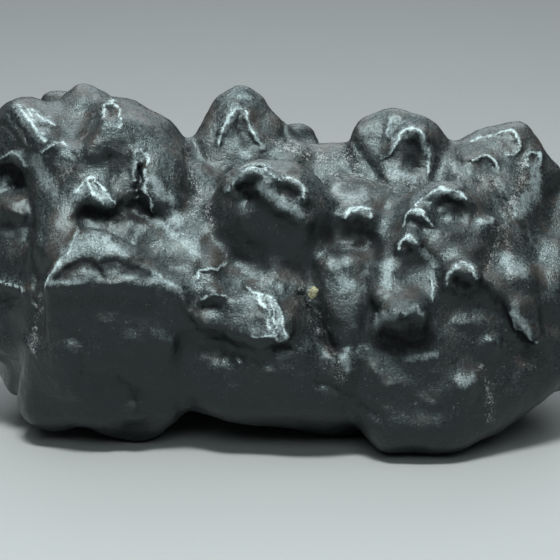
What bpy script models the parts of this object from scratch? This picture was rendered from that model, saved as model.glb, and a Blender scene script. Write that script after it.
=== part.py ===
"""A prophecy stone: one natural cluster of worn iron-mineral crystals, long and low.

Each crystal is the hull of a few balls, placed in mm as the stone is seen from the front: across, up,
out toward the viewer, and the ball's radius. The hulls are fused, bent a little and worn into one solid.
The larger hollows and ridges are then carved along paths drawn on the front. The stone rests on small
flats where its lowest crystals are rubbed down.
"""

import math
import random

import bmesh
import bpy
from mathutils import Matrix, Vector, noise

MM = 0.001

# The front view that the crystals are placed in. Nearer things look larger by this viewing distance.
VIEW_TILT = math.radians(16)
VIEW_DISTANCE = 240
VIEW_CENTRE = Vector((0, 0, 19.6))
VIEW_RIGHT = Vector((1, 0, 0))
VIEW_UP = Vector((0, math.sin(VIEW_TILT), math.cos(VIEW_TILT)))
VIEW_OUT = Vector((0, -math.cos(VIEW_TILT), math.sin(VIEW_TILT)))

# Sizes in mm of the steps that fuse, bend and wear the crystals.
VOXEL = 0.5
BALL_ROUNDS = 2
SWAY = 0.55
SWAY_SPREAD = 4.5
SWAY_SEED = 12
FILLET = 0.7
ROUNDING = 0.45
WEAR_ROUNDS = 3
RELIEF = 0.12
RELIEF_SPREAD = 3.2
TRIANGLES = 9400

# A path acts on the points whose normals turn to the viewer, near the depth that it lies at.
FACING = 0.1
ON_PATH = 0.6
DEPTH_REACH = 4.2

# The crystals of the back, the underside and the ends, which are guessed.
SEED = 5
BACK_CENTRE = Vector((1, 5, 19))
BACK_DEPTH = 17.5
BACK_HEIGHT = 15
BACK_LENGTH = 44
BACK_STEP = 11
BACK_SIZE = (6.6, 8.6)
BACK_STEPS = 3
BACK_REACH = 35
BACK_SHIFT = 1.8
BACK_TURN = 7
BACK_SUNK = 0.75
BACK_SPLAY = 0.75
SIDE_SIZE = (3, 4.4)
SIDE_SHIFT = (3, 6)
SIDE_TURN = (0.17, 0.35)
SIDE_SUNK = 0.5
END_SIZE = (5.6, 7)
END_REACH = {-1: -31.5, 1: 30.5}
END_SPOTS = ((9, 29), (15, 23), (13, 12), (18, 17))
FEET = ((-25, 13, 6), (-5, 17, 5.5), (20, 14, 6.5))
FOOT_SUNK = 0.7
FOOT_TOP = Vector((-2, -4, 7))
FOOT_SPREAD = 1.3
END_WAY = 1.3
END_CENTRE = (4, 18)
END_SPLAY = 16
UNDER_ROWS = ((-5, 11), (2, 9.5), (8, 9.5))
UNDER_REACH = 27
UNDER_STEP = 9
UNDER_SIZE = (6.6, 8)
UNDER_SHIFT = 1.5
UNDER_LEAN = ((-0.25, 0.25), (-0.3, 0.1))
ARCH = (-13, 8)
ARCH_RISE = 2.6

# A guessed crystal's shape, in shares of its size, and how far toward the viewer its tip may reach.
ROOT_RADIUS = 0.66
CORNERS = (3, 4, 4, 5)
CORNER_TURN = 0.3
CORNER_LEAN = (0.28, 0.5)
CORNER_REACH = (0.72, 0.92)
CORNER_RADIUS = (0.2, 0.3)
HIDDEN_UP = 15
HIDDEN_OUT = -5

# Degrees from straight back toward the top, and the shift along the stone in steps.
BELTS = ((62, 0), (30, 0.5), (-2, 0), (-34, 0.5), (-66, 0), (-98, 0.5), (-128, 0))

COLOUR = (0.022, 0.024, 0.026, 1)
ROUGHNESS = 0.3

# The mass that all the crystals grow from, and what closes the gaps between them.
INSIDE = {
    "core_left": ((-31, 6, -6, 6), (-31, -3, -6, 6), (-26, 8, -6, 7), (-26, -6, -5, 9)),
    "core_mid": ((-26, 0, -6, 10.5), (-8, -1, -5, 11.5)),
    "core_right": ((-8, -1, -5, 11.5), (8, -3, -5, 12)),
    "core_far_right": ((8, -3, -5, 12), (24, -1, -6, 11.5)),
    "fill_notch": ((-12.5, 11, -2, 3.4), (-9, 11, -1.5, 3), (-10, 6, -2, 4)),
    "fill_boss_left": ((14.5, 11, -1, 2.6), (12, 9, -1, 2.6), (14, 6, 1, 3)),
    "fill_crevice": ((4, -3, 4.6, 2.4), (5.5, -7, 5.6, 2.4), (4, -11, 4, 4)),
    "fill_front": ((-10.5, -7.5, 6.5, 2), (-10, -11, 4, 4)),
    "fill_right": ((28, 7, -1.5, 4), (28, 2, -1, 5)),
    "fill_left": ((-29.5, 12.5, 0, 3), (-28, 9, 0, 3.5)),
    "belly": (
        (-7, -13, 4, 4.6), (5, -13.4, 5, 4.8), (0, -9, 6, 5), (0, -12, -2, 6), (-12, -11, -3, 5),
        (10, -14, -4, 6),
    ),
}
# The slab, the peak behind it and the large lump left of the middle.
TOP_LEFT = {
    "left_slab": (
        (-33, 21.4, 0.4, 0.85), (-31.8, 19.7, 2, 0.85), (-29.9, 17.6, 3.9, 0.85),
        (-34.6, 19.6, -1.4, 1), (-33.2, 17, 1.6, 0.85), (-31.3, 15.9, 2.6, 0.85),
        (-31.2, 21.6, -4.5, 1.5), (-34, 21, -4, 1.4), (-36, 16, -4, 3), (-31, 15, 0, 2),
    ),
    "slab_limb": (
        (-31, 20.7, -0.9, 0.85), (-28.7, 19.3, 0.2, 0.85), (-30, 21.4, -4.5, 1.5),
        (-28, 20.4, -3, 1.2), (-28.7, 17.3, 2.5, 0.85), (-30.5, 18.5, 1.5, 0.85), (-30, 17, -2, 2),
    ),
    "far_bump_left": ((-28.6, 22.1, -9, 1.8), (-26.8, 22, -9, 1.8), (-27, 17, -10, 4)),
    "back_left_peak": (
        (-24.3, 23.7, -5.5, 1.3), (-27.4, 21.2, -5, 1.4), (-22.6, 22, -6, 1.7), (-24.9, 19.6, -2.4, 1),
        (-26.5, 17, 0.4, 1), (-28, 14.5, 1.2, 1.2), (-24.5, 14, -8, 5),
    ),
    "left_rim_bump": (
        (-29.3, 15.8, 4.1, 0.85), (-28.5, 16.3, 4.1, 0.85), (-27.4, 16.4, 3.5, 0.85),
        (-28.9, 14.1, 3.2, 0.85), (-27, 14.1, 2.6, 0.85), (-28, 13, 0, 2),
    ),
    "lump_dome": (
        (-22, 19.3, 3.6, 1), (-18.5, 19, 2.9, 1.3), (-15, 17.8, 1.2, 1.5), (-13.2, 15, 1.7, 1.5),
        (-12.9, 11, 2.5, 1.2), (-24, 16, 3.7, 1), (-26.5, 12.5, 3.7, 1), (-28.3, 9.4, 3.7, 1),
        (-20.6, 10.6, 4.4, 1), (-16.5, 10.5, 4, 1), (-25.5, 9.8, 4.3, 1), (-21.4, 21.4, -3, 1.7),
        (-18.6, 21, -3.6, 1.9), (-15.2, 19.2, -3, 1.7), (-13.6, 18, -2.6, 1.6), (-18, 12, -6, 5),
    ),
    "lump_toe": (
        (-25, 10.7, 5.1, 0.95), (-23.4, 11.8, 5, 0.95), (-21.8, 10.5, 5.6, 0.95),
        (-24.4, 9.9, 5.9, 0.9), (-22.8, 9.8, 6.2, 0.9), (-21.2, 9.6, 6.1, 0.9), (-23.5, 12, 3, 1),
        (-24, 10.5, 3, 1), (-21, 10, 3, 1),
    ),
    "lump_lobe": (
        (-16.1, 14.6, 4.1, 0.9), (-16.2, 12.6, 4.7, 0.9), (-16.3, 10.5, 5.3, 0.9),
        (-15.4, 9.1, 5.6, 0.9), (-13.1, 10.2, 4.4, 1), (-13.3, 14.4, 2.9, 1), (-15, 15.8, 2.4, 1),
        (-14.5, 12, 0, 2),
    ),
    "under_lump": (
        (-24, 6.8, 4.2, 1.2), (-20.5, 7.2, 4.8, 1.2), (-20, 9, 2, 2), (-16, 6.8, 3.4, 1.3),
        (-20, 4, 3, 3),
    ),
}
# The middle peak, the saddle right of it and the overhanging lump in front.
TOP_MIDDLE = {
    "mid_peak": (
        (-5.3, 23.4, -5.6, 1.4), (-7.1, 22.3, -5.8, 1.3), (-9.8, 17.4, -4.5, 1.5),
        (-2.5, 21.8, -5.8, 1.5), (0.2, 17.7, -6, 1.8), (-5, 12, -12, 4), (-9.8, 13, -3.8, 2),
        (0, 13.6, -4.2, 2), (-5, 12.6, -3.6, 2), (-5, 19, -5, 2.4),
    ),
    "mid_peak_face": (
        (-5.3, 20.4, -3.2, 0.9), (-6.7, 17.6, -3.2, 0.9), (-2.8, 17, -3.2, 0.9),
        (-6.3, 15.2, -3.1, 0.9), (-3.4, 15, -3.1, 0.9), (-5, 17.5, -7, 2),
    ),
    "far_bump_mid": ((3, 18, -10, 1.7), (0.8, 18, -9, 1.7), (2.5, 12, -10, 4)),
    "saddle_hill": (
        (3.6, 15.7, -6, 1.5), (6.4, 15.9, -6.5, 1.6), (8.5, 15.9, -7, 1.5), (4.6, 13.9, -3.8, 1.3),
        (7.4, 13.6, -4, 1.3), (5, 10, -5, 4),
    ),
    "saddle_left": ((0, 15.2, -3.4, 1.4), (2.4, 15.6, -4, 1.6), (1, 12, -2, 2)),
    "saddle_valley": (
        (6.4, 12.2, -1.9, 0.85), (9.2, 12.3, -2.6, 1.1), (11.8, 12.2, -1.8, 0.9), (9, 9, -3, 3),
    ),
    "overhang_body": (
        (-6.2, 12.2, 5, 1.5), (-3, 13.6, 4, 1.5), (1, 13.8, 4, 1.5), (4.2, 12, 4, 1.5),
        (6.2, 8.8, 4, 1.3), (6.6, 5, 4, 1.2), (-7.8, 9.5, 4.4, 1.1), (-7.7, 6, 4.6, 1.1),
        (-5.8, 2.8, 4.6, 1.2), (4.8, 0.4, 4.8, 1), (0, 1.2, 5.4, 1.1), (-3.5, 7, 6.8, 1.4),
        (2.5, 6.4, 7, 1.4), (-2.6, 10.5, 7.8, 1.2), (2, 9.8, 7.6, 1.2), (0, 6, -2, 4),
    ),
    "overhang_rim": (
        (-5.2, 12, 8.2, 0.9), (-4, 12.9, 8.8, 0.9), (-2, 13.3, 9.4, 0.9), (0.4, 12, 9.3, 0.9),
        (2.4, 11.6, 8.9, 0.9), (2.8, 10.2, 8.2, 0.9), (-2, 11, 6, 1.5),
    ),
    "overhang_spur": (
        (-2, 10.8, 9.2, 0.9), (0, 9.4, 9.4, 0.9), (1.8, 8.4, 9.3, 0.9), (3.6, 7.2, 8.4, 0.9),
        (0, 8.5, 6.5, 1.6),
    ),
    "small_tip": (
        (9, 7.7, 5.5, 0.85), (9.4, 8, 5.6, 0.85), (10.8, 8.2, 5.5, 0.85), (11.1, 7.5, 5.5, 0.85),
        (9.4, 4, 4, 0.9), (12, 4.2, 4.2, 0.9), (12.4, 7, 3.6, 0.85), (8.3, 6.5, 3, 1), (10.5, 6, 0, 3),
    ),
    "bowl": (
        (7.1, 11.6, 0.2, 0.85), (9.8, 11.7, -0.2, 0.85), (7.6, 9.8, 2.5, 0.85), (9.4, 9.6, 2.9, 0.85),
        (11.5, 10, 2.5, 0.85), (13.5, 10.5, 2, 1), (10, 8.5, -1, 2),
    ),
}
# The peak right of the middle and the block at the far right.
TOP_RIGHT = {
    "right_peak": (
        (14.3, 20.3, -4.6, 1.7), (11.3, 19.4, -4.8, 1.6), (9.9, 16.4, -4, 1.6),
        (18.6, 18.2, -4.8, 1.8), (20, 15, -4.4, 1.6), (15, 10, -10, 5), (12, 12.5, -2.6, 1.6),
        (18, 12, -2.3, 2), (16.5, 19.3, -4.6, 1.8),
    ),
    "right_peak_rim": (
        (13.6, 18.2, -3.1, 0.85), (13.9, 19.1, -3.6, 0.85), (15.3, 19.4, -3.6, 0.85),
        (13.3, 15.8, -2.2, 0.85), (14.6, 17.4, -2, 0.85), (15, 15.5, -5, 2),
    ),
    "right_peak_face": (
        (16.5, 18, -1.6, 0.85), (15.5, 17.1, -1.6, 0.85), (17.6, 17.8, -1.4, 0.85),
        (18.1, 16.5, -1.4, 0.85), (18.2, 14.1, -1.6, 0.85), (15.4, 14.8, -1.9, 0.85),
        (16.8, 14.1, -1.8, 0.85), (16.5, 15.5, -5, 2),
    ),
    "right_peak_skirt": (
        (13.6, 14.4, -1.8, 0.9), (16.5, 13.6, -1.8, 0.9), (14.4, 12.5, -0.6, 0.9),
        (16.6, 12.2, -0.6, 0.9), (18, 12.6, -1.2, 0.9), (15.5, 12, -3, 2),
    ),
    "far_block": (
        (22.2, 15.9, -5, 1.4), (25, 17.3, -5, 1.7), (28, 17.9, -5, 1.7), (30, 18.4, -5, 1.7),
        (31.6, 16.2, -4.5, 1.7), (32, 13, -3.5, 1.7), (31.6, 9, -3, 1.7), (31, 6, -2, 1.8),
        (26, 9, -1, 3), (26, 8, -12, 5), (23, 12, -1, 2),
    ),
    "far_face": (
        (24.7, 15.9, -3.9, 0.85), (28, 14.9, -2.8, 0.85), (27.6, 12.5, -1.4, 0.85),
        (30, 13.6, -2.4, 0.85), (29.8, 15.9, -3.5, 0.85), (27, 13, -5, 2),
    ),
    "far_knob": (
        (24.6, 14.6, -1.5, 0.85), (25.6, 14.8, -1.4, 0.85), (26.2, 14.6, -1.3, 0.85),
        (26.5, 14.2, -1.2, 0.85), (26.3, 13.5, -1.4, 0.85), (24.5, 13.4, -1.5, 0.85),
        (25.4, 13.8, -4, 1.2),
    ),
    "far_patch": (
        (22.1, 14.5, -2.1, 0.85), (23.5, 13.8, -1.6, 0.85), (22.1, 12.8, -0.8, 0.85),
        (24.1, 12.6, -0.6, 0.85), (26.8, 12.2, -0.8, 0.85), (24, 12, -3, 2),
    ),
    "far_side": (
        (31.3, 15.4, -3.1, 0.85), (32.1, 15, -3.6, 0.85), (31.2, 14, -2.4, 0.85),
        (31.9, 13.9, -2.8, 0.85), (31.4, 10.4, -1.8, 0.9), (31.5, 13, -5, 1.6),
    ),
    "far_low": (
        (29.4, 11.5, -0.7, 1), (31, 10, -1.8, 1.1), (30, 7.5, -0.2, 1.2), (31.2, 5, 0.1, 1.1),
        (28.5, 10, -2, 2),
    ),
}
# The broad block at the lower left and the small lumps along its left edge.
LOW_LEFT = {
    "block_band": (
        (-24.7, 5.8, 9.3, 0.85), (-21.6, 5.7, 9.8, 0.85), (-22, 3, 10.6, 0.85),
        (-27.1, 2.8, 9.5, 0.85), (-29, -0.6, 10.1, 0.85), (-26, -1.1, 10.9, 0.9),
        (-21, -0.8, 11.1, 0.9), (-16.5, -0.8, 11, 0.9), (-12.9, -2.1, 10.5, 0.85),
        (-11.5, -4.3, 9.9, 0.85), (-18.7, 4.1, 9.8, 0.85), (-17.4, 2.4, 10.1, 0.85),
        (-14.9, 0.2, 10.1, 0.85), (-22, -2, 2, 5),
    ),
    "block_crest": (
        (-21.2, 5.4, 9.2, 0.85), (-19.8, 3.3, 10.6, 0.85), (-17.5, 2.7, 10.2, 0.85),
        (-19.5, 4, 8.9, 0.85),
    ),
    "block_crest_low": (
        (-19.7, 2.8, 10.6, 0.85), (-17, 2.1, 10.2, 0.85), (-14.7, -0.1, 10.7, 0.85),
        (-12.6, -1.5, 10.7, 0.85), (-16, -2, 9.6, 1),
    ),
    "block_front": (
        (-28.6, -1.8, 9.6, 1), (-26, -2, 10.4, 1), (-16.5, -2, 10.5, 1), (-12.6, -3.6, 10, 1),
        (-28, -7.5, 7.6, 1.4), (-14, -8.5, 7.6, 2), (-21, -8.5, 8.2, 2), (-22, -6, 2, 5),
    ),
    "block_low_left": (
        (-28.9, -11, 3.4, 3.6), (-28.6, -14.6, 0, 4.4), (-23, -14.4, 3, 4.2), (-26, -8.5, 7, 3.2),
    ),
    "block_low_right": (
        (-17.2, -17.3, 0, 3), (-21.5, -16.4, 0.6, 3.4), (-14, -15, 2.6, 2.8), (-21, -13, 4, 3),
        (-20, -9.5, 6.9, 3), (-15, -10, 6.3, 3),
    ),
    "block_knob_left": (
        (-27.9, -5.9, 8.7, 0.9), (-26.7, -6.3, 8.8, 0.9), (-27, -8, 7.4, 1.2), (-26.5, -5, 7, 1.6),
    ),
    "block_bar": (
        (-22.1, -5.2, 10.2, 0.85), (-20.3, -5.1, 10.3, 0.85), (-21, -7.4, 9.2, 1.2), (-21, -6, 7, 2),
    ),
    "block_lump_a": (
        (-23.6, -9.3, 9.2, 0.9), (-22.2, -9.6, 9.2, 0.9), (-23, -11.4, 7.6, 1.2), (-23, -9, 6, 2),
    ),
    "block_lump_b": (
        (-18.9, -7.8, 9.9, 0.85), (-17.7, -8.1, 9.8, 0.85), (-18.4, -10, 8.6, 1.2), (-18, -8, 6, 2),
    ),
    "block_knob_right": (
        (-15.3, -7.5, 9.9, 0.9), (-13.8, -7.9, 9.6, 0.9), (-14.4, -10, 8.2, 1.3), (-14, -8, 7, 2),
    ),
    "block_lump_c": (
        (-27.2, -13, 5.6, 0.9), (-25.8, -13.2, 5.8, 0.9), (-26.4, -15, 4.2, 1.2), (-26, -13, 3, 2),
    ),
    "block_under_left": ((-26.6, -16.6, 1.8, 2), (-29.8, -15, -1.4, 2), (-25, -14, -5, 4)),
    "block_under_middle": ((-21.4, -17, 3, 1.8), (-19, -17.6, 0.5, 2), (-20, -14, -4, 4)),
    "left_column": (
        (-29.8, 9.3, 3, 0.9), (-27.2, 9.3, 5, 0.85), (-29.9, 4.4, 6.4, 0.85), (-28.2, 2.4, 8.2, 0.85),
        (-25.9, 5.5, 7.4, 0.85), (-28.5, 7, 6.4, 0.85), (-31, 0, 3, 1.5), (-28, 3, -2, 4),
    ),
    "edge_facet": (
        (-31.6, -1.6, 4.5, 0.85), (-30.6, -5.5, 5.5, 0.85), (-32.7, -3.6, 3.4, 0.9),
        (-30.3, -1.5, 6, 1), (-31, -5, 0, 3),
    ),
    "edge_speck": ((-31, -8.5, 5.4, 0.85), (-30, -8, 5, 1.5), (-31.5, -7, 1, 2)),
    "edge_ledge": (
        (-34.7, -0.9, 2.4, 0.85), (-33.5, -0.9, 3, 0.85), (-32.8, -0.7, 3.2, 0.85), (-36, -1, -1, 2),
        (-33, 1, -4, 3),
    ),
    "edge_low": ((-34, -5, 1.5, 1.2), (-36, -7, -2, 2), (-33.3, -8.5, 1, 1.4), (-32, -5, -3, 4)),
    "edge_b": (
        (-34.2, 5.5, 1.9, 0.85), (-32.5, 5.1, 2.4, 0.85), (-34.2, 1.8, 2.2, 0.85), (-32, 1.6, 3, 0.85),
        (-36, 3.5, -1, 2), (-33, 2.4, -1, 2.4),
    ),
    "edge_c": (
        (-34, 9.3, 1.4, 0.85), (-32.6, 9.3, 1.8, 0.85), (-33.9, 7.9, 1.9, 0.85),
        (-32.5, 7.7, 2.2, 0.85), (-35.5, 9, -1, 1.3), (-32.5, 7, -1, 2.5),
    ),
    "edge_d": (
        (-34.1, 15.4, 1, 0.85), (-33.2, 15.2, 1.4, 0.85), (-32.8, 14.8, 1.8, 0.85), (-35, 14.5, 0, 1),
        (-31.9, 14, 1.1, 0.85), (-33, 14, -3, 2.4),
    ),
    "left_end": (
        (-35, 17, -6, 3), (-38.4, 16, -6, 1.5), (-37.6, 12.4, -3, 1.5), (-36, 14, -1, 1.4),
        (-34, 10, -6, 5),
    ),
    "left_end_mid": (
        (-34, 4, -6, 6), (-40.2, 6.4, -6, 1.5), (-39.6, 2.2, -4.5, 1.6), (-37.6, 4.4, -0.6, 1.2),
        (-38, 8, -3, 1.2),
    ),
    "left_end_low": (
        (-33, -4, -5, 5), (-38.8, -2.8, -5.5, 1.6), (-37.6, -6.6, -3, 1.5), (-35.6, -8.6, -2.4, 1.7),
        (-36.8, -3, -0.4, 1.2),
    ),
    "left_end_foot": (
        (-29, -8, -7, 5), (-34, -10.5, -8, 2), (-32.6, -13, -4, 1.6), (-31, -9, -1, 2),
        (-33, -11, -13, 2),
    ),
}
# The shelf and the crystals below the overhanging lump.
LOW_MIDDLE = {
    "shelf": (
        (-16, 6, 4.5, 1.2), (-13, 8.2, 3, 1.2), (-9.5, 8.8, 2.5, 1.2), (-15.5, 3, 7.5, 1.2),
        (-10, 3, 7.2, 1), (-12, 4, -2, 4),
    ),
    "pad": (
        (-9.9, 2, 8.1, 0.85), (-9, 1.5, 8.7, 0.85), (-7.9, 1.8, 8.2, 0.85), (-8.3, 2.9, 7.2, 0.85),
        (-9.8, 2.9, 7, 0.85), (-9, 2, 6, 1),
    ),
    "shelf_low": (
        (-13, -0.4, 8.4, 1.2), (-7, -0.6, 7.8, 1), (-3, -0.5, 7.6, 1), (0, -0.6, 7.2, 1),
        (-11, -4, 9, 1.2), (-6.5, -4, 8.8, 1.2), (-7, -1, 3, 4),
    ),
    "nib": (
        (-9.2, -2.1, 10.1, 0.85), (-8.1, -2, 9.8, 0.85), (-8.5, 0, 8.8, 0.85),
        (-10.8, -1.4, 9.1, 0.85), (-8.8, -3.2, 8.4, 0.85),
    ),
    "nib_low": (
        (-9.6, -5.1, 10.2, 0.85), (-8.3, -5.2, 10.2, 0.85), (-12, -3.5, 9.3, 1), (-9, -6, 7, 2),
    ),
    "front_facet": (
        (-3.8, -2, 9.8, 0.85), (-2.2, -2.4, 10.1, 0.85), (-0.8, -3.5, 10.6, 0.85),
        (-0.8, -5.1, 11, 0.85), (0.5, -7.1, 11.2, 0.85), (-2.2, -7.9, 11.4, 0.85), (-6, -6, 10.9, 0.9),
        (-6.6, -3.6, 10, 0.9), (-1, 0.2, 7.4, 1.2), (1.4, -2, 8.6, 1), (1.5, -8, 9, 1), (-3, -6, 3, 4),
    ),
    "front_strip": (
        (1.8, -0.6, 7.5, 0.85), (2.6, -4, 8.3, 0.85), (2.6, -9.6, 9.9, 0.85), (3.6, -9.3, 9.4, 0.85),
        (3, -11, 8, 1), (2, -6, 3, 2),
    ),
    "knob_low": ((7.4, -9.8, 9.9, 0.9), (8.8, -10.2, 9.6, 0.9), (8.3, -11.9, 9.3, 1), (8, -9, 5, 2.5)),
    "facet": (
        (5.9, 1.8, 7.6, 1), (9, 2.8, 7.4, 1), (5.6, -1.6, 8.2, 1), (9.6, -1.6, 8.4, 1),
        (6.8, -4.2, 8.5, 1), (9.6, -4.2, 8.8, 1), (7.4, 0.5, 2, 3),
    ),
    "facet_low": ((9.6, -4.4, 8.8, 0.9), (9.3, -7, 9.2, 0.95), (7.4, -6, 8.6, 0.9), (8, -5, 4, 2.5)),
}
# The boss at the lower right, its crystals and the right end.
LOW_RIGHT = {
    "boss": (
        (17, 8.8, 3.4, 2.2), (24, 7.8, 2.6, 2.3), (13, 3, 5.2, 2), (22, 3, 5.6, 2), (27, 3, 4, 2),
        (13, -3.5, 7.8, 2), (17.5, -4, 8.4, 2), (25, -5, 5.6, 2.4), (14, -12, 6, 4), (20, -14, 5.2, 5),
        (26, -11, 3.4, 4), (11, -14, 5, 4), (20, 0, -2, 8),
    ),
    "boss_foot": (
        (14, -17.1, 5, 4.7), (20, -16.9, 5, 5), (25, -15.8, 3.6, 4), (29, -12.2, 2.4, 3.7),
        (34, -10, 1, 3.6), (18, -10, -2, 8),
    ),
    "boss_crown": (
        (16.2, 9.8, 4.6, 1), (19, 11.6, 4, 1.2), (22, 11.6, 4, 1.2), (24.6, 9.2, 4.4, 1),
        (20, 8, 1, 3),
    ),
    "boss_top": (
        (18.1, 9.8, 5.8, 0.85), (19.3, 10.5, 6.4, 0.85), (20.5, 11, 6.6, 0.85),
        (21.3, 10.5, 6.6, 0.85), (22.5, 10.2, 6.6, 0.85), (24.4, 9, 5.5, 0.85), (19.5, 7.9, 5.5, 0.85),
        (23.6, 7.4, 5.5, 0.85), (21, 9, 2, 2.5),
    ),
    "boss_tip_a": (
        (16.1, 7.8, 7.5, 0.85), (16.8, 8, 7.9, 0.85), (17.4, 7.8, 7.9, 0.85), (18, 7.4, 7.6, 0.85),
        (16.5, 6.4, 6.9, 0.85), (18.4, 6.2, 6.7, 0.85), (17.2, 7.2, 4.5, 1.2),
    ),
    "boss_tip_b": (
        (15.4, 4.8, 8.7, 0.85), (15.9, 5, 8.9, 0.85), (16.4, 4.5, 9, 0.85), (17, 4.2, 8.9, 0.85),
        (15.5, 3.2, 8.1, 0.85), (16.8, 3.2, 8.1, 0.85), (16, 4, 5.5, 1.2),
    ),
    "boss_middle": (
        (19.4, 5.4, 7.5, 0.85), (22, 6, 7.2, 0.85), (24.9, 5.9, 6.6, 0.85), (20.6, 2.7, 8.7, 0.85),
        (24.4, 2.9, 7.8, 0.85), (22, 4, 3.5, 2),
    ),
    "boss_left": (
        (12.9, 1.9, 8, 0.85), (14.3, 1.2, 8.6, 0.85), (13.1, -0.7, 9.4, 0.85), (15.5, -1.1, 9.6, 0.85),
        (12.6, 0, 6, 2),
    ),
    "boss_hook": (
        (21.5, 0.5, 10.5, 0.85), (21.9, 1.3, 10.5, 0.85), (22.7, 1.6, 10.4, 0.85),
        (23.4, 1.1, 10.2, 0.85), (24, 0.4, 10.1, 0.85), (21.6, -1.2, 9.5, 0.85),
        (23.8, -1.4, 9.1, 0.85), (22.6, 0, 6, 1.6),
    ),
    "boss_bump": ((25.9, 7.1, 6.5, 0.85), (26.7, 6.9, 6.2, 0.85), (26, 6, 4.5, 2)),
    "boss_nose": (
        (12.8, -4.3, 12, 0.85), (13.8, -4.1, 12.5, 0.85), (15.5, -4.6, 12.6, 0.85),
        (16.3, -4, 12.9, 0.85), (17.3, -4.1, 12.8, 0.85), (17.6, -4.8, 12.4, 0.85),
        (13, -6.6, 10.9, 0.85), (17, -6.8, 11.1, 0.85), (15.5, -5, 9.4, 2), (15.5, -1.6, 8.8, 1.2),
    ),
    "side_facet_a": (
        (28.7, 2.4, 6.2, 0.85), (30.9, 2.1, 5.3, 0.85), (29.1, 0.1, 7.2, 0.85),
        (31.4, -0.3, 6.4, 0.85), (29.5, 1, 1, 2),
    ),
    "side_facet_b": (
        (26.4, -0.4, 8.3, 0.85), (27.5, -0.5, 7.8, 0.85), (26.5, -1.6, 8.7, 0.85),
        (27.9, -2.2, 8.3, 0.85), (27, 0, 4, 2),
    ),
    "side_facet_c": (
        (29.5, -3, 7.9, 0.85), (31.3, -3.3, 6.6, 0.85), (32.1, -6.3, 7, 0.85), (29.2, -4.6, 8.7, 0.85),
        (31.4, -7.1, 7.8, 0.85), (30, -4, 1, 2.5),
    ),
    "side_lump_a": ((23, -5.6, 8, 1), (25, -5.7, 7.6, 1), (24, -7.4, 7.2, 1.2), (24, -6.5, 5, 2)),
    "side_lump_b": (
        (26.4, -8.1, 8.3, 0.85), (27, -8.1, 7.8, 0.85), (26.4, -9.2, 7.5, 0.85), (26, -8.5, 5.6, 1.5),
    ),
    "boss_bar": (
        (16.5, -9.6, 8.6, 1), (19.4, -9.7, 8.6, 1), (21.2, -9.4, 8, 1), (18.5, -11, 8.2, 1.2),
        (18.5, -9.5, 7, 1.5),
    ),
    "low_lump_a": ((22.8, -13, 9, 1.2), (24, -12.6, 8.4, 1.2), (23, -15, 8, 1.5), (22.4, -13, 6, 2.2)),
    "low_lump_b": ((30.3, -11.4, 5.8, 0.85), (31.9, -11.4, 5.2, 0.85), (31, -12, 3, 2)),
    "right_end": (
        (36, 3.2, -3, 3), (36.5, -4, -2, 3.5), (34, -10, -1, 4), (30, 0, -7, 6), (35, 8, -9, 4),
    ),
    "right_end_face": (
        (33.9, 5, 0.4, 1), (33.6, 0.6, 3.6, 1), (35.8, 1.5, 2, 1.2), (33, -3, 4, 1.5), (36, -5, 3, 2),
    ),
    "right_end_low": ((33, -7.5, 4, 1.5), (35.5, -9, 2, 2), (31, -9.5, 3.5, 1.8), (32, -6, 0, 3)),
}
GROUPS = (INSIDE, TOP_LEFT, TOP_MIDDLE, TOP_RIGHT, LOW_LEFT, LOW_MIDDLE, LOW_RIGHT)

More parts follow.
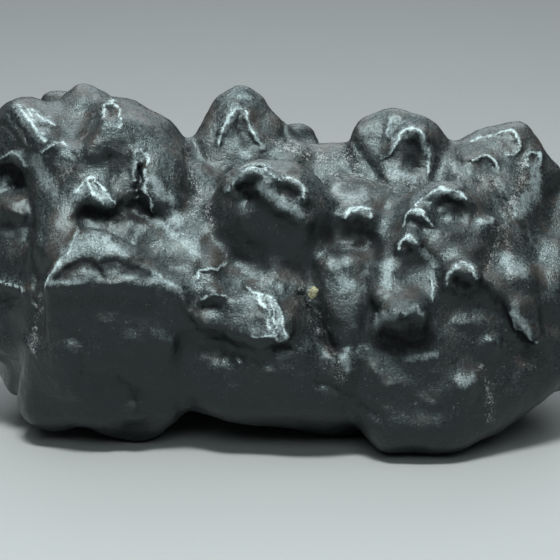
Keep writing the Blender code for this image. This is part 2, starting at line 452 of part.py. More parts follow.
# The larger hollows and ridges of the front, in mm as it is seen: the height, how far it fades to the left
# of the path and to the right of it, and the path.
CARVED = {
    "slab_dimple": (-0.36, 0.9, 0.9, ((-28.9, 15.8), (-27.8, 15.9))),
    "edge_cavity": (-0.84, 1.2, 1.2, ((-34.2, 13.6), (-32.4, 13.2), (-32.6, 11.8))),
    "edge_under": (-0.3, 0.8, 0.8, ((-35, -2.2), (-33.2, -2.3))),
    "lump_pocket": (-0.48, 1.0, 1.3, ((-24.8, 8.6), (-22.5, 8), (-20.4, 7.9))),
    "lump_keyhole": (-1.1, 0.34, 0.34, ((-17.3, 14.6), (-17.5, 13), (-17.9, 10.4))),
    "lump_cave": (-0.72, 0.9, 1.1, ((-18.4, 9.2), (-17.2, 8.6), (-15.6, 8))),
    "peak_hollow": (-0.35, 0.9, 0.9, ((-5.3, 19.8), (-5.1, 18.8))),
    "overhang_rim": (0.46, 1.0, 0.32, (
        (-6.3, 11.2), (-5.6, 12.5), (-4.2, 13.9), (-2.1, 14.3), (-1.2, 13.6), (-0.5, 12.8), (0.3, 12.4),
        (1.4, 12.7), (2.5, 12.3), (3.1, 11.1), (3.1, 10),
    )),
    "overhang_hollow_a": (-0.78, 0.9, 0.9, ((-4.9, 11.8), (-3.5, 11.9), (-3.9, 10))),
    "overhang_hollow_b": (-0.66, 0.7, 0.7, ((0.8, 11.3), (2.1, 10.6))),
    "overhang_spur": (0.56, 1.0, 0.8, ((-2.3, 11.7), (-1.2, 10.3), (0.4, 9.2), (2, 8.2), (4, 6.8))),
    "small_tip_hollow": (-0.48, 1.0, 1.0, ((9.8, 7), (11, 5.6))),
    "tip_shade": (-0.2, 1.6, 1.6, ((9.6, 6.4), (11.4, 5))),
    "bowl": (-0.36, 1.0, 1.0, ((8.2, 11.2), (9.6, 10.9))),
    "right_peak_hollow": (-0.6, 1.1, 1.1, ((16.5, 17.2), (17, 15.6), (16.8, 14.6))),
    "boss_top_rim": (0.4, 0.9, 0.32, (
        (16.9, 9.4), (17.8, 10.4), (19, 11), (20.3, 11.7), (21, 11.1), (22.5, 10.9), (23.2, 10.2),
    )),
    "boss_top_hollow": (-0.72, 1.1, 1.1, ((20.4, 9.6), (22.2, 9.1), (22.6, 8.3))),
    "boss_tip_a_hollow": (-0.48, 0.7, 0.7, ((16.5, 7.4), (17.8, 6.6))),
    "boss_tip_b_hollow": (-0.42, 0.6, 0.6, ((15.8, 4.2), (16.2, 3.4))),
    "boss_hook_hollow": (-0.72, 0.9, 0.9, ((21.8, 0), (23.4, -0.9))),
    "boss_nose_hollow": (-0.3, 0.8, 0.8, ((13.4, -5.1), (15.2, -5.3), (17.2, -4.9))),
    "side_valley": (-0.45, 0.7, 0.7, ((25.3, 0.2), (26.2, -1.9), (27.6, -2.8), (28, -4.6), (29.4, -5.9), (31, -8.2))),
    "side_lump_a": (0.25, 0.9, 0.9, ((22.6, -5.6), (25.2, -6))),
    "low_lump_a": (0.3, 1.1, 1.1, ((23, -12.8), (23.8, -12.5))),
    "block_lump_a": (0.25, 1.2, 1.2, ((-27.6, -5.9), (-26.9, -6.2))),
    "block_lump_c": (0.19, 1.4, 1.4, ((-23.6, -9.6), (-22.6, -9.8))),
    "block_lump_e": (0.25, 1.2, 1.2, ((-15, -7.8), (-14, -8))),
    "block_lump_f": (0.19, 1.5, 1.5, ((-27, -13.4), (-26, -13.6))),
    "nib_hollow": (-0.48, 0.7, 0.7, ((-9.3, -3.4), (-7.9, -3.5))),
    "facet_low_hollow": (-0.48, 0.7, 0.7, ((-0.6, -8.5), (0.9, -8.4))),
    "crevice": (-0.54, 0.45, 0.45, ((2.8, -1.9), (4, -4), (5.5, -6.5), (6.8, -9.6))),
    "crevice_hole": (-0.78, 0.7, 0.7, ((5.9, -7.7), (7.3, -8.4))),
    "knob_low": (0.31, 0.8, 0.7, ((7.5, -9.7), (8.9, -10.4), (8.6, -12))),
}


def clear_scene():
    for obj in list(bpy.data.objects):
        bpy.data.objects.remove(obj)


def placed(across, up, out):
    """The point in world mm that the front view shows at this place."""
    near = (VIEW_DISTANCE - out) / VIEW_DISTANCE
    return VIEW_CENTRE + near * (across * VIEW_RIGHT + up * VIEW_UP) + out * VIEW_OUT


def front_crystals():
    """Lists of (point, radius) in world mm, one list for each crystal of the front and the top."""
    crystals = []
    for group in GROUPS:
        for balls in group.values():
            crystals.append([(placed(across, up, out), radius) for across, up, out, radius in balls])
    return crystals


def guessed_crystal(rng, at, way, size):
    """A blunt crystal that grows from a point along a direction, with three to five corners."""
    side = way.cross(Vector((rng.uniform(-1, 1), rng.uniform(-1, 1), rng.uniform(-1, 1)))).normalized()
    other = way.cross(side)
    balls = [(at, ROOT_RADIUS * size)]
    corners = rng.choice(CORNERS)
    turn = rng.uniform(0, math.tau)
    for corner in range(corners):
        angle = turn + math.tau * corner / corners + rng.uniform(-CORNER_TURN, CORNER_TURN)
        lean = rng.uniform(*CORNER_LEAN) * (math.cos(angle) * side + math.sin(angle) * other)
        reach = rng.uniform(*CORNER_REACH) * size
        balls.append((at + reach * (way + lean), rng.uniform(*CORNER_RADIUS) * size))
    return balls


def hidden_spot(across, angle, size, sunk):
    """The start and the direction of a crystal on the back, at an angle round the stone's long axis."""
    taper = math.sqrt(1 - (across / BACK_LENGTH) ** 2)
    depth = (BACK_DEPTH * taper - sunk * size) * math.cos(angle)
    height = (BACK_HEIGHT * taper - sunk * size) * math.sin(angle)
    way = Vector((BACK_SPLAY * across / BACK_LENGTH, math.cos(angle), math.sin(angle))).normalized()
    return Vector((across, BACK_CENTRE.y + depth, BACK_CENTRE.z + height)), way


def hides(point, way, size):
    """Whether a guessed crystal here stays behind what the front view shows."""
    tip = point + size * way - VIEW_CENTRE
    return tip.dot(VIEW_UP) < HIDDEN_UP and tip.dot(VIEW_OUT) < HIDDEN_OUT


def back_crystals(rng):
    crystals = []
    for degrees, shift in BELTS:
        for step in range(-BACK_STEPS, BACK_STEPS + 1):
            across = BACK_CENTRE.x + BACK_STEP * (step + shift) + rng.uniform(-BACK_SHIFT, BACK_SHIFT)
            angle = math.radians(degrees + rng.uniform(-BACK_TURN, BACK_TURN))
            size = rng.uniform(*BACK_SIZE)
            if abs(across) > BACK_REACH:
                continue
            at, way = hidden_spot(across, angle, size, BACK_SUNK)
            if hides(at, way, size):
                crystals.append(guessed_crystal(rng, at, way, size))
            for turn in (-1, 1):
                small = rng.uniform(*SIDE_SIZE)
                beside = across + turn * rng.uniform(*SIDE_SHIFT)
                at, way = hidden_spot(beside, angle + turn * rng.uniform(*SIDE_TURN), small, SIDE_SUNK)
                if hides(at, way, small):
                    crystals.append(guessed_crystal(rng, at, way, small))
    return crystals


def end_crystals(rng):
    crystals = []
    for side, across in END_REACH.items():
        for back, height in END_SPOTS:
            lean = (back - END_CENTRE[0]) / END_SPLAY
            rise = (height - END_CENTRE[1]) / END_SPLAY
            way = Vector((END_WAY * side, lean, rise)).normalized()
            crystals.append(guessed_crystal(rng, Vector((across, back, height)), way, rng.uniform(*END_SIZE)))
    return crystals


def under_crystals(rng):
    """Blunt crystals on the underside, which stay higher in the arch between the two front blocks."""
    crystals = []
    for row, (back, height) in enumerate(UNDER_ROWS):
        across = -UNDER_REACH + UNDER_STEP * 0.5 * (row % 2)
        while across <= UNDER_REACH:
            rise = ARCH_RISE if ARCH[0] < across < ARCH[1] else 0
            at = Vector((across + rng.uniform(-UNDER_SHIFT, UNDER_SHIFT), back, height + rise))
            way = Vector((rng.uniform(*UNDER_LEAN[0]), rng.uniform(*UNDER_LEAN[1]), -1)).normalized()
            crystals.append(guessed_crystal(rng, at, way, rng.uniform(*UNDER_SIZE)))
            across += UNDER_STEP
    return crystals


def feet():
    """The broad crystals under the back that the stone rests on, each a blunt cone sunk a little below z = 0."""
    crystals = []
    for across, back, radius in FEET:
        foot = Vector((across, back, radius - FOOT_SUNK))
        crystals.append([(foot, radius), (foot + FOOT_TOP, FOOT_SPREAD * radius)])
    return crystals


def hull_mesh(balls):
    """The hull of some balls as a mesh in metres."""
    bm = bmesh.new()
    for point, radius in balls:
        at = Matrix.Scale(MM, 4) @ Matrix.Translation(point)
        bmesh.ops.create_icosphere(bm, subdivisions=BALL_ROUNDS, radius=radius, matrix=at)
    bmesh.ops.delete(bm, geom=bm.edges[:], context="EDGES_FACES")
    hull = bmesh.ops.convex_hull(bm, input=bm.verts[:], use_existing_faces=False)
    inner = [item for item in hull["geom_interior"] + hull["geom_unused"] if isinstance(item, bmesh.types.BMVert)]
    bmesh.ops.delete(bm, geom=list(set(inner)), context="VERTS")
    bmesh.ops.recalc_face_normals(bm, faces=bm.faces[:])
    mesh = bpy.data.meshes.new("crystal")
    bm.to_mesh(mesh)
    bm.free()
    return mesh


def joined(crystals, name):
    """One object that holds all the hulls, which still overlap."""
    bm = bmesh.new()
    for balls in crystals:
        mesh = hull_mesh(balls)
        bm.from_mesh(mesh)
        bpy.data.meshes.remove(mesh)
    mesh = bpy.data.meshes.new(name)
    bm.to_mesh(mesh)
    bm.free()
    return bpy.data.objects.new(name, mesh)


def add_remesh(obj):
    step = obj.modifiers.new("Fuse", "REMESH")
    step.mode = "VOXEL"
    step.voxel_size = VOXEL * MM


def add_swell(obj, by):
    step = obj.modifiers.new("Swell", "DISPLACE")
    step.mid_level = 0
    step.strength = by * MM


def add_wear(obj, rounds):
    step = obj.modifiers.new("Wear", "SMOOTH")
    step.factor = 0.5
    step.iterations = rounds


def apply_modifiers(obj):
    graph = bpy.context.evaluated_depsgraph_get()
    mesh = bpy.data.meshes.new_from_object(obj.evaluated_get(graph))
    obj.modifiers.clear()
    obj.data = mesh


def bend(obj):
    """Shifts the skin a little to and fro, so that no edge runs straight."""
    noise.seed_set(SWAY_SEED)
    for vertex in obj.data.vertices:
        vertex.co += SWAY * MM * noise.noise_vector(vertex.co / (SWAY_SPREAD * MM))


def fuse(obj):
    """One skin over all the hulls. Swelling and shrinking it rounds the creases first, then the edges."""
    add_remesh(obj)
    apply_modifiers(obj)
    bend(obj)
    for by in (FILLET, -FILLET - ROUNDING, ROUNDING):
        add_swell(obj, by)
        add_remesh(obj)
        add_wear(obj, 1)
    add_wear(obj, WEAR_ROUNDS)
    apply_modifiers(obj)


def seen_from_front(point):
    """Across, up and out in mm of a point in metres."""
    apart = point / MM - VIEW_CENTRE
    out = apart.dot(VIEW_OUT)
    near = (VIEW_DISTANCE - out) / VIEW_DISTANCE
    return Vector((apart.dot(VIEW_RIGHT) / near, apart.dot(VIEW_UP) / near, out))


def path_weight(spot, left, right, path):
    """How strongly a path acts on a spot, from 0 to 1. It fades to its left and right by these distances."""
    nearest = math.inf
    turned_left = True
    for start, end in zip(path, path[1:]):
        step = Vector(end) - Vector(start)
        apart = spot - Vector(start)
        along = min(max(apart.dot(step) / step.dot(step), 0), 1)
        gap = (apart - along * step).length
        if gap < nearest:
            nearest = gap
            turned_left = step.cross(apart) > 0
    fade = left if turned_left else right
    return math.exp(-((nearest / fade) ** 2))


def carve(obj):
    """Moves the front of the skin in or out along the drawn paths."""
    shown = [vertex for vertex in obj.data.vertices if vertex.normal.dot(VIEW_OUT) > FACING]
    spots = [seen_from_front(vertex.co) for vertex in shown]
    totals = [0.0] * len(shown)
    for height, left, right, path in CARVED.values():
        weights = [path_weight(spot.xy, left, right, path) for spot in spots]
        depths = sorted(spot.z for spot, weight in zip(spots, weights) if weight > ON_PATH)
        if not depths:
            continue
        front = depths[-1 - len(depths) // 4]
        for place, (spot, weight) in enumerate(zip(spots, weights)):
            totals[place] += height * weight * math.exp(-(((spot.z - front) / DEPTH_REACH) ** 4))
    moves = [total * MM * (vertex.normal + VIEW_OUT).normalized() for total, vertex in zip(totals, shown)]
    for vertex, move in zip(shown, moves):
        vertex.co += move


def weather(obj):
    """Low uneven relief along the surface's normals."""
    mesh = obj.data
    normals = [vertex.normal.copy() for vertex in mesh.vertices]
    for vertex, normal in zip(mesh.vertices, normals):
        spot = vertex.co / (RELIEF_SPREAD * MM)
        vertex.co += normal * (RELIEF * MM * noise.fractal(spot, 1.0, 2.0, 2))


def thin_out(obj):
    """Fewer triangles, with most of them left where the surface bends."""
    mesh = obj.data
    mesh.calc_loop_triangles()
    step = obj.modifiers.new("Thin out", "DECIMATE")
    step.ratio = TRIANGLES / len(mesh.loop_triangles)
    apply_modifiers(obj)


def rub_flat(obj):
    """Cuts the lowest crystals off in one level plane, which is what the stone rests on."""
    bm = bmesh.new()
    bm.from_mesh(obj.data)
    everything = bm.verts[:] + bm.edges[:] + bm.faces[:]
    cut = bmesh.ops.bisect_plane(bm, geom=everything, plane_co=(0, 0, 0), plane_no=(0, 0, -1), clear_outer=True)
    rims = [item for item in cut["geom_cut"] if isinstance(item, bmesh.types.BMEdge)]
    bmesh.ops.edgenet_fill(bm, edges=rims)
    bmesh.ops.triangulate(bm, faces=bm.faces[:])
    bmesh.ops.recalc_face_normals(bm, faces=bm.faces[:])
    bm.to_mesh(obj.data)
    bm.free()


def centre(obj):
    """Moves the solid so that the origin is the middle of its base."""
    corners = [vertex.co for vertex in obj.data.vertices]
    low = [min(corner[axis] for corner in corners) for axis in range(3)]
    high = [max(corner[axis] for corner in corners) for axis in range(3)]
    middle = Vector(((low[0] + high[0]) / 2, (low[1] + high[1]) / 2, low[2]))
    obj.data.transform(Matrix.Translation(-middle))
    print("moved by", [round(-value / MM, 3) for value in middle], "mm")


def stone_material():
    material = bpy.data.materials.new("stone")
    material.use_nodes = True
    shader = material.node_tree.nodes["Principled BSDF"]
    shader.inputs["Base Color"].default_value = COLOUR
    shader.inputs["Roughness"].default_value = ROUGHNESS
    shader.inputs["Metallic"].default_value = 0
    return material


def main():
    clear_scene()
    rng = random.Random(SEED)
    home = bpy.data.collections.new("prophecy_stone")
    bpy.context.scene.collection.children.link(home)
    guessed = back_crystals(rng) + end_crystals(rng) + under_crystals(rng)
    stone = joined(front_crystals() + guessed + feet(), "stone")
    home.objects.link(stone)
    fuse(stone)
    carve(stone)
    weather(stone)
    thin_out(stone)
    rub_flat(stone)
    centre(stone)
    stone.data.materials.append(stone_material())
    stone.data.shade_smooth()


main()
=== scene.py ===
"""The visual prophecy stone: its skin in full detail, its finish and a plain studio.

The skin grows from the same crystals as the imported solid, fused at a finer step, so it stands for that
solid from every side. The crystal tables give lengths in mm as the stone is seen from the front.
"""

import logging
import math
import random
from dataclasses import dataclass, field
from enum import Enum
from typing import Any, Sequence

import bmesh
import bpy
import numpy as np
from mathutils import Matrix, Vector, noise
from mathutils.bvhtree import BVHTree


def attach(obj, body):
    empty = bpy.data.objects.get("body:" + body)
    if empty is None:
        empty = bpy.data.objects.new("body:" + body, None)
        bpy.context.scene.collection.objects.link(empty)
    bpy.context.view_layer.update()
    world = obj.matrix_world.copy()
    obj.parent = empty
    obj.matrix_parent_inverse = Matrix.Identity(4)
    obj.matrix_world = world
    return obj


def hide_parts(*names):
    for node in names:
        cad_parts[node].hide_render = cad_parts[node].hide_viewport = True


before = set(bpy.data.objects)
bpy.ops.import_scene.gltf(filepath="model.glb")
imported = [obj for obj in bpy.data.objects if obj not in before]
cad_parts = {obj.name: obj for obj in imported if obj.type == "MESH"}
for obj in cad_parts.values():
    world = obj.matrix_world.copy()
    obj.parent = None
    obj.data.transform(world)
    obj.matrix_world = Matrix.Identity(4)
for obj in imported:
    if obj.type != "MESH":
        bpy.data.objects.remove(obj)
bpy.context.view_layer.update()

log = logging.getLogger("prophecy_stone")

MM = 0.001
NODE = "stone"
BODY = "root"

Span = tuple[float, float]
Triple = tuple[float, float, float]
Colour = Triple
Ball = tuple[Vector, float]
Path = tuple[Span, ...]
Group = dict[str, tuple[tuple[float, float, float, float], ...]]

# The crystals of the front: the balls that each is the hull of, by their place to the right, above and toward
# the viewer, and their radius.

# The mass that all the crystals grow from, and what closes the gaps between them.
INSIDE: Group = {
    "core_left": ((-31, 6, -6, 6), (-31, -3, -6, 6), (-26, 8, -6, 7), (-26, -6, -5, 9)),
    "core_mid": ((-26, 0, -6, 10.5), (-8, -1, -5, 11.5)),
    "core_right": ((-8, -1, -5, 11.5), (8, -3, -5, 12)),
    "core_far_right": ((8, -3, -5, 12), (24, -1, -6, 11.5)),
    "fill_notch": ((-12.5, 11, -2, 3.4), (-9, 11, -1.5, 3), (-10, 6, -2, 4)),
    "fill_boss_left": ((14.5, 11, -1, 2.6), (12, 9, -1, 2.6), (14, 6, 1, 3)),
    "fill_crevice": ((4, -3, 4.6, 2.4), (5.5, -7, 5.6, 2.4), (4, -11, 4, 4)),
    "fill_front": ((-10.5, -7.5, 6.5, 2), (-10, -11, 4, 4)),
    "fill_right": ((28, 7, -1.5, 4), (28, 2, -1, 5)),
    "fill_left": ((-29.5, 12.5, 0, 3), (-28, 9, 0, 3.5)),
    "belly": (
        (-7, -13, 4, 4.6), (5, -13.4, 5, 4.8), (0, -9, 6, 5), (0, -12, -2, 6), (-12, -11, -3, 5),
        (10, -14, -4, 6),
    ),
}
# The slab, the peak behind it and the large lump left of the middle.
TOP_LEFT: Group = {
    "left_slab": (
        (-33, 21.4, 0.4, 0.85), (-31.8, 19.7, 2, 0.85), (-29.9, 17.6, 3.9, 0.85),
        (-34.6, 19.6, -1.4, 1), (-33.2, 17, 1.6, 0.85), (-31.3, 15.9, 2.6, 0.85),
        (-31.2, 21.6, -4.5, 1.5), (-34, 21, -4, 1.4), (-36, 16, -4, 3), (-31, 15, 0, 2),
    ),
    "slab_limb": (
        (-31, 20.7, -0.9, 0.85), (-28.7, 19.3, 0.2, 0.85), (-30, 21.4, -4.5, 1.5),
        (-28, 20.4, -3, 1.2), (-28.7, 17.3, 2.5, 0.85), (-30.5, 18.5, 1.5, 0.85), (-30, 17, -2, 2),
    ),
    "far_bump_left": ((-28.6, 22.1, -9, 1.8), (-26.8, 22, -9, 1.8), (-27, 17, -10, 4)),
    "back_left_peak": (
        (-24.3, 23.7, -5.5, 1.3), (-27.4, 21.2, -5, 1.4), (-22.6, 22, -6, 1.7), (-24.9, 19.6, -2.4, 1),
        (-26.5, 17, 0.4, 1), (-28, 14.5, 1.2, 1.2), (-24.5, 14, -8, 5),
    ),
    "left_rim_bump": (
        (-29.3, 15.8, 4.1, 0.85), (-28.5, 16.3, 4.1, 0.85), (-27.4, 16.4, 3.5, 0.85),
        (-28.9, 14.1, 3.2, 0.85), (-27, 14.1, 2.6, 0.85), (-28, 13, 0, 2),
    ),
    "lump_dome": (
        (-22, 19.3, 3.6, 1), (-18.5, 19, 2.9, 1.3), (-15, 17.8, 1.2, 1.5), (-13.2, 15, 1.7, 1.5),
        (-12.9, 11, 2.5, 1.2), (-24, 16, 3.7, 1), (-26.5, 12.5, 3.7, 1), (-28.3, 9.4, 3.7, 1),
        (-20.6, 10.6, 4.4, 1), (-16.5, 10.5, 4, 1), (-25.5, 9.8, 4.3, 1), (-21.4, 21.4, -3, 1.7),
        (-18.6, 21, -3.6, 1.9), (-15.2, 19.2, -3, 1.7), (-13.6, 18, -2.6, 1.6), (-18, 12, -6, 5),
    ),
    "lump_toe": (
        (-25, 10.7, 5.1, 0.95), (-23.4, 11.8, 5, 0.95), (-21.8, 10.5, 5.6, 0.95),
        (-24.4, 9.9, 5.9, 0.9), (-22.8, 9.8, 6.2, 0.9), (-21.2, 9.6, 6.1, 0.9), (-23.5, 12, 3, 1),
        (-24, 10.5, 3, 1), (-21, 10, 3, 1),
    ),
    "lump_lobe": (
        (-16.1, 14.6, 4.1, 0.9), (-16.2, 12.6, 4.7, 0.9), (-16.3, 10.5, 5.3, 0.9),
        (-15.4, 9.1, 5.6, 0.9), (-13.1, 10.2, 4.4, 1), (-13.3, 14.4, 2.9, 1), (-15, 15.8, 2.4, 1),
        (-14.5, 12, 0, 2),
    ),
    "under_lump": (
        (-24, 6.8, 4.2, 1.2), (-20.5, 7.2, 4.8, 1.2), (-20, 9, 2, 2), (-16, 6.8, 3.4, 1.3),
        (-20, 4, 3, 3),
    ),
}
# The middle peak, the saddle right of it and the overhanging lump in front.
TOP_MIDDLE: Group = {
    "mid_peak": (
        (-5.3, 23.4, -5.6, 1.4), (-7.1, 22.3, -5.8, 1.3), (-9.8, 17.4, -4.5, 1.5),
        (-2.5, 21.8, -5.8, 1.5), (0.2, 17.7, -6, 1.8), (-5, 12, -12, 4), (-9.8, 13, -3.8, 2),
        (0, 13.6, -4.2, 2), (-5, 12.6, -3.6, 2), (-5, 19, -5, 2.4),
    ),
    "mid_peak_face": (
        (-5.3, 20.4, -3.2, 0.9), (-6.7, 17.6, -3.2, 0.9), (-2.8, 17, -3.2, 0.9),
        (-6.3, 15.2, -3.1, 0.9), (-3.4, 15, -3.1, 0.9), (-5, 17.5, -7, 2),
    ),
    "far_bump_mid": ((3, 18, -10, 1.7), (0.8, 18, -9, 1.7), (2.5, 12, -10, 4)),
    "saddle_hill": (
        (3.6, 15.7, -6, 1.5), (6.4, 15.9, -6.5, 1.6), (8.5, 15.9, -7, 1.5), (4.6, 13.9, -3.8, 1.3),
        (7.4, 13.6, -4, 1.3), (5, 10, -5, 4),
    ),
    "saddle_left": ((0, 15.2, -3.4, 1.4), (2.4, 15.6, -4, 1.6), (1, 12, -2, 2)),
    "saddle_valley": (
        (6.4, 12.2, -1.9, 0.85), (9.2, 12.3, -2.6, 1.1), (11.8, 12.2, -1.8, 0.9), (9, 9, -3, 3),
    ),
    "overhang_body": (
        (-6.2, 12.2, 5, 1.5), (-3, 13.6, 4, 1.5), (1, 13.8, 4, 1.5), (4.2, 12, 4, 1.5),
        (6.2, 8.8, 4, 1.3), (6.6, 5, 4, 1.2), (-7.8, 9.5, 4.4, 1.1), (-7.7, 6, 4.6, 1.1),
        (-5.8, 2.8, 4.6, 1.2), (4.8, 0.4, 4.8, 1), (0, 1.2, 5.4, 1.1), (-3.5, 7, 6.8, 1.4),
        (2.5, 6.4, 7, 1.4), (-2.6, 10.5, 7.8, 1.2), (2, 9.8, 7.6, 1.2), (0, 6, -2, 4),
    ),
    "overhang_rim": (
        (-5.2, 12, 8.2, 0.9), (-4, 12.9, 8.8, 0.9), (-2, 13.3, 9.4, 0.9), (0.4, 12, 9.3, 0.9),
        (2.4, 11.6, 8.9, 0.9), (2.8, 10.2, 8.2, 0.9), (-2, 11, 6, 1.5),
    ),
    "overhang_spur": (
        (-2, 10.8, 9.2, 0.9), (0, 9.4, 9.4, 0.9), (1.8, 8.4, 9.3, 0.9), (3.6, 7.2, 8.4, 0.9),
        (0, 8.5, 6.5, 1.6),
    ),
    "small_tip": (
        (9, 7.7, 5.5, 0.85), (9.4, 8, 5.6, 0.85), (10.8, 8.2, 5.5, 0.85), (11.1, 7.5, 5.5, 0.85),
        (9.4, 4, 4, 0.9), (12, 4.2, 4.2, 0.9), (12.4, 7, 3.6, 0.85), (8.3, 6.5, 3, 1), (10.5, 6, 0, 3),
    ),
    "bowl": (
        (7.1, 11.6, 0.2, 0.85), (9.8, 11.7, -0.2, 0.85), (7.6, 9.8, 2.5, 0.85), (9.4, 9.6, 2.9, 0.85),
        (11.5, 10, 2.5, 0.85), (13.5, 10.5, 2, 1), (10, 8.5, -1, 2),
    ),
}
# The peak right of the middle and the block at the far right.
TOP_RIGHT: Group = {
    "right_peak": (
        (14.3, 20.3, -4.6, 1.7), (11.3, 19.4, -4.8, 1.6), (9.9, 16.4, -4, 1.6),
        (18.6, 18.2, -4.8, 1.8), (20, 15, -4.4, 1.6), (15, 10, -10, 5), (12, 12.5, -2.6, 1.6),
        (18, 12, -2.3, 2), (16.5, 19.3, -4.6, 1.8),
    ),
    "right_peak_rim": (
        (13.6, 18.2, -3.1, 0.85), (13.9, 19.1, -3.6, 0.85), (15.3, 19.4, -3.6, 0.85),
        (13.3, 15.8, -2.2, 0.85), (14.6, 17.4, -2, 0.85), (15, 15.5, -5, 2),
    ),
    "right_peak_face": (
        (16.5, 18, -1.6, 0.85), (15.5, 17.1, -1.6, 0.85), (17.6, 17.8, -1.4, 0.85),
        (18.1, 16.5, -1.4, 0.85), (18.2, 14.1, -1.6, 0.85), (15.4, 14.8, -1.9, 0.85),
        (16.8, 14.1, -1.8, 0.85), (16.5, 15.5, -5, 2),
    ),
    "right_peak_skirt": (
        (13.6, 14.4, -1.8, 0.9), (16.5, 13.6, -1.8, 0.9), (14.4, 12.5, -0.6, 0.9),
        (16.6, 12.2, -0.6, 0.9), (18, 12.6, -1.2, 0.9), (15.5, 12, -3, 2),
    ),
    "far_block": (
        (22.2, 15.9, -5, 1.4), (25, 17.3, -5, 1.7), (28, 17.9, -5, 1.7), (30, 18.4, -5, 1.7),
        (31.6, 16.2, -4.5, 1.7), (32, 13, -3.5, 1.7), (31.6, 9, -3, 1.7), (31, 6, -2, 1.8),
        (26, 9, -1, 3), (26, 8, -12, 5), (23, 12, -1, 2),
    ),
    "far_face": (
        (24.7, 15.9, -3.9, 0.85), (28, 14.9, -2.8, 0.85), (27.6, 12.5, -1.4, 0.85),
        (30, 13.6, -2.4, 0.85), (29.8, 15.9, -3.5, 0.85), (27, 13, -5, 2),
    ),
    "far_knob": (
        (24.6, 14.6, -1.5, 0.85), (25.6, 14.8, -1.4, 0.85), (26.2, 14.6, -1.3, 0.85),
        (26.5, 14.2, -1.2, 0.85), (26.3, 13.5, -1.4, 0.85), (24.5, 13.4, -1.5, 0.85),
        (25.4, 13.8, -4, 1.2),
    ),
    "far_patch": (
        (22.1, 14.5, -2.1, 0.85), (23.5, 13.8, -1.6, 0.85), (22.1, 12.8, -0.8, 0.85),
        (24.1, 12.6, -0.6, 0.85), (26.8, 12.2, -0.8, 0.85), (24, 12, -3, 2),
    ),
    "far_side": (
        (31.3, 15.4, -3.1, 0.85), (32.1, 15, -3.6, 0.85), (31.2, 14, -2.4, 0.85),
        (31.9, 13.9, -2.8, 0.85), (31.4, 10.4, -1.8, 0.9), (31.5, 13, -5, 1.6),
    ),
    "far_low": (
        (29.4, 11.5, -0.7, 1), (31, 10, -1.8, 1.1), (30, 7.5, -0.2, 1.2), (31.2, 5, 0.1, 1.1),
        (28.5, 10, -2, 2),
    ),
}
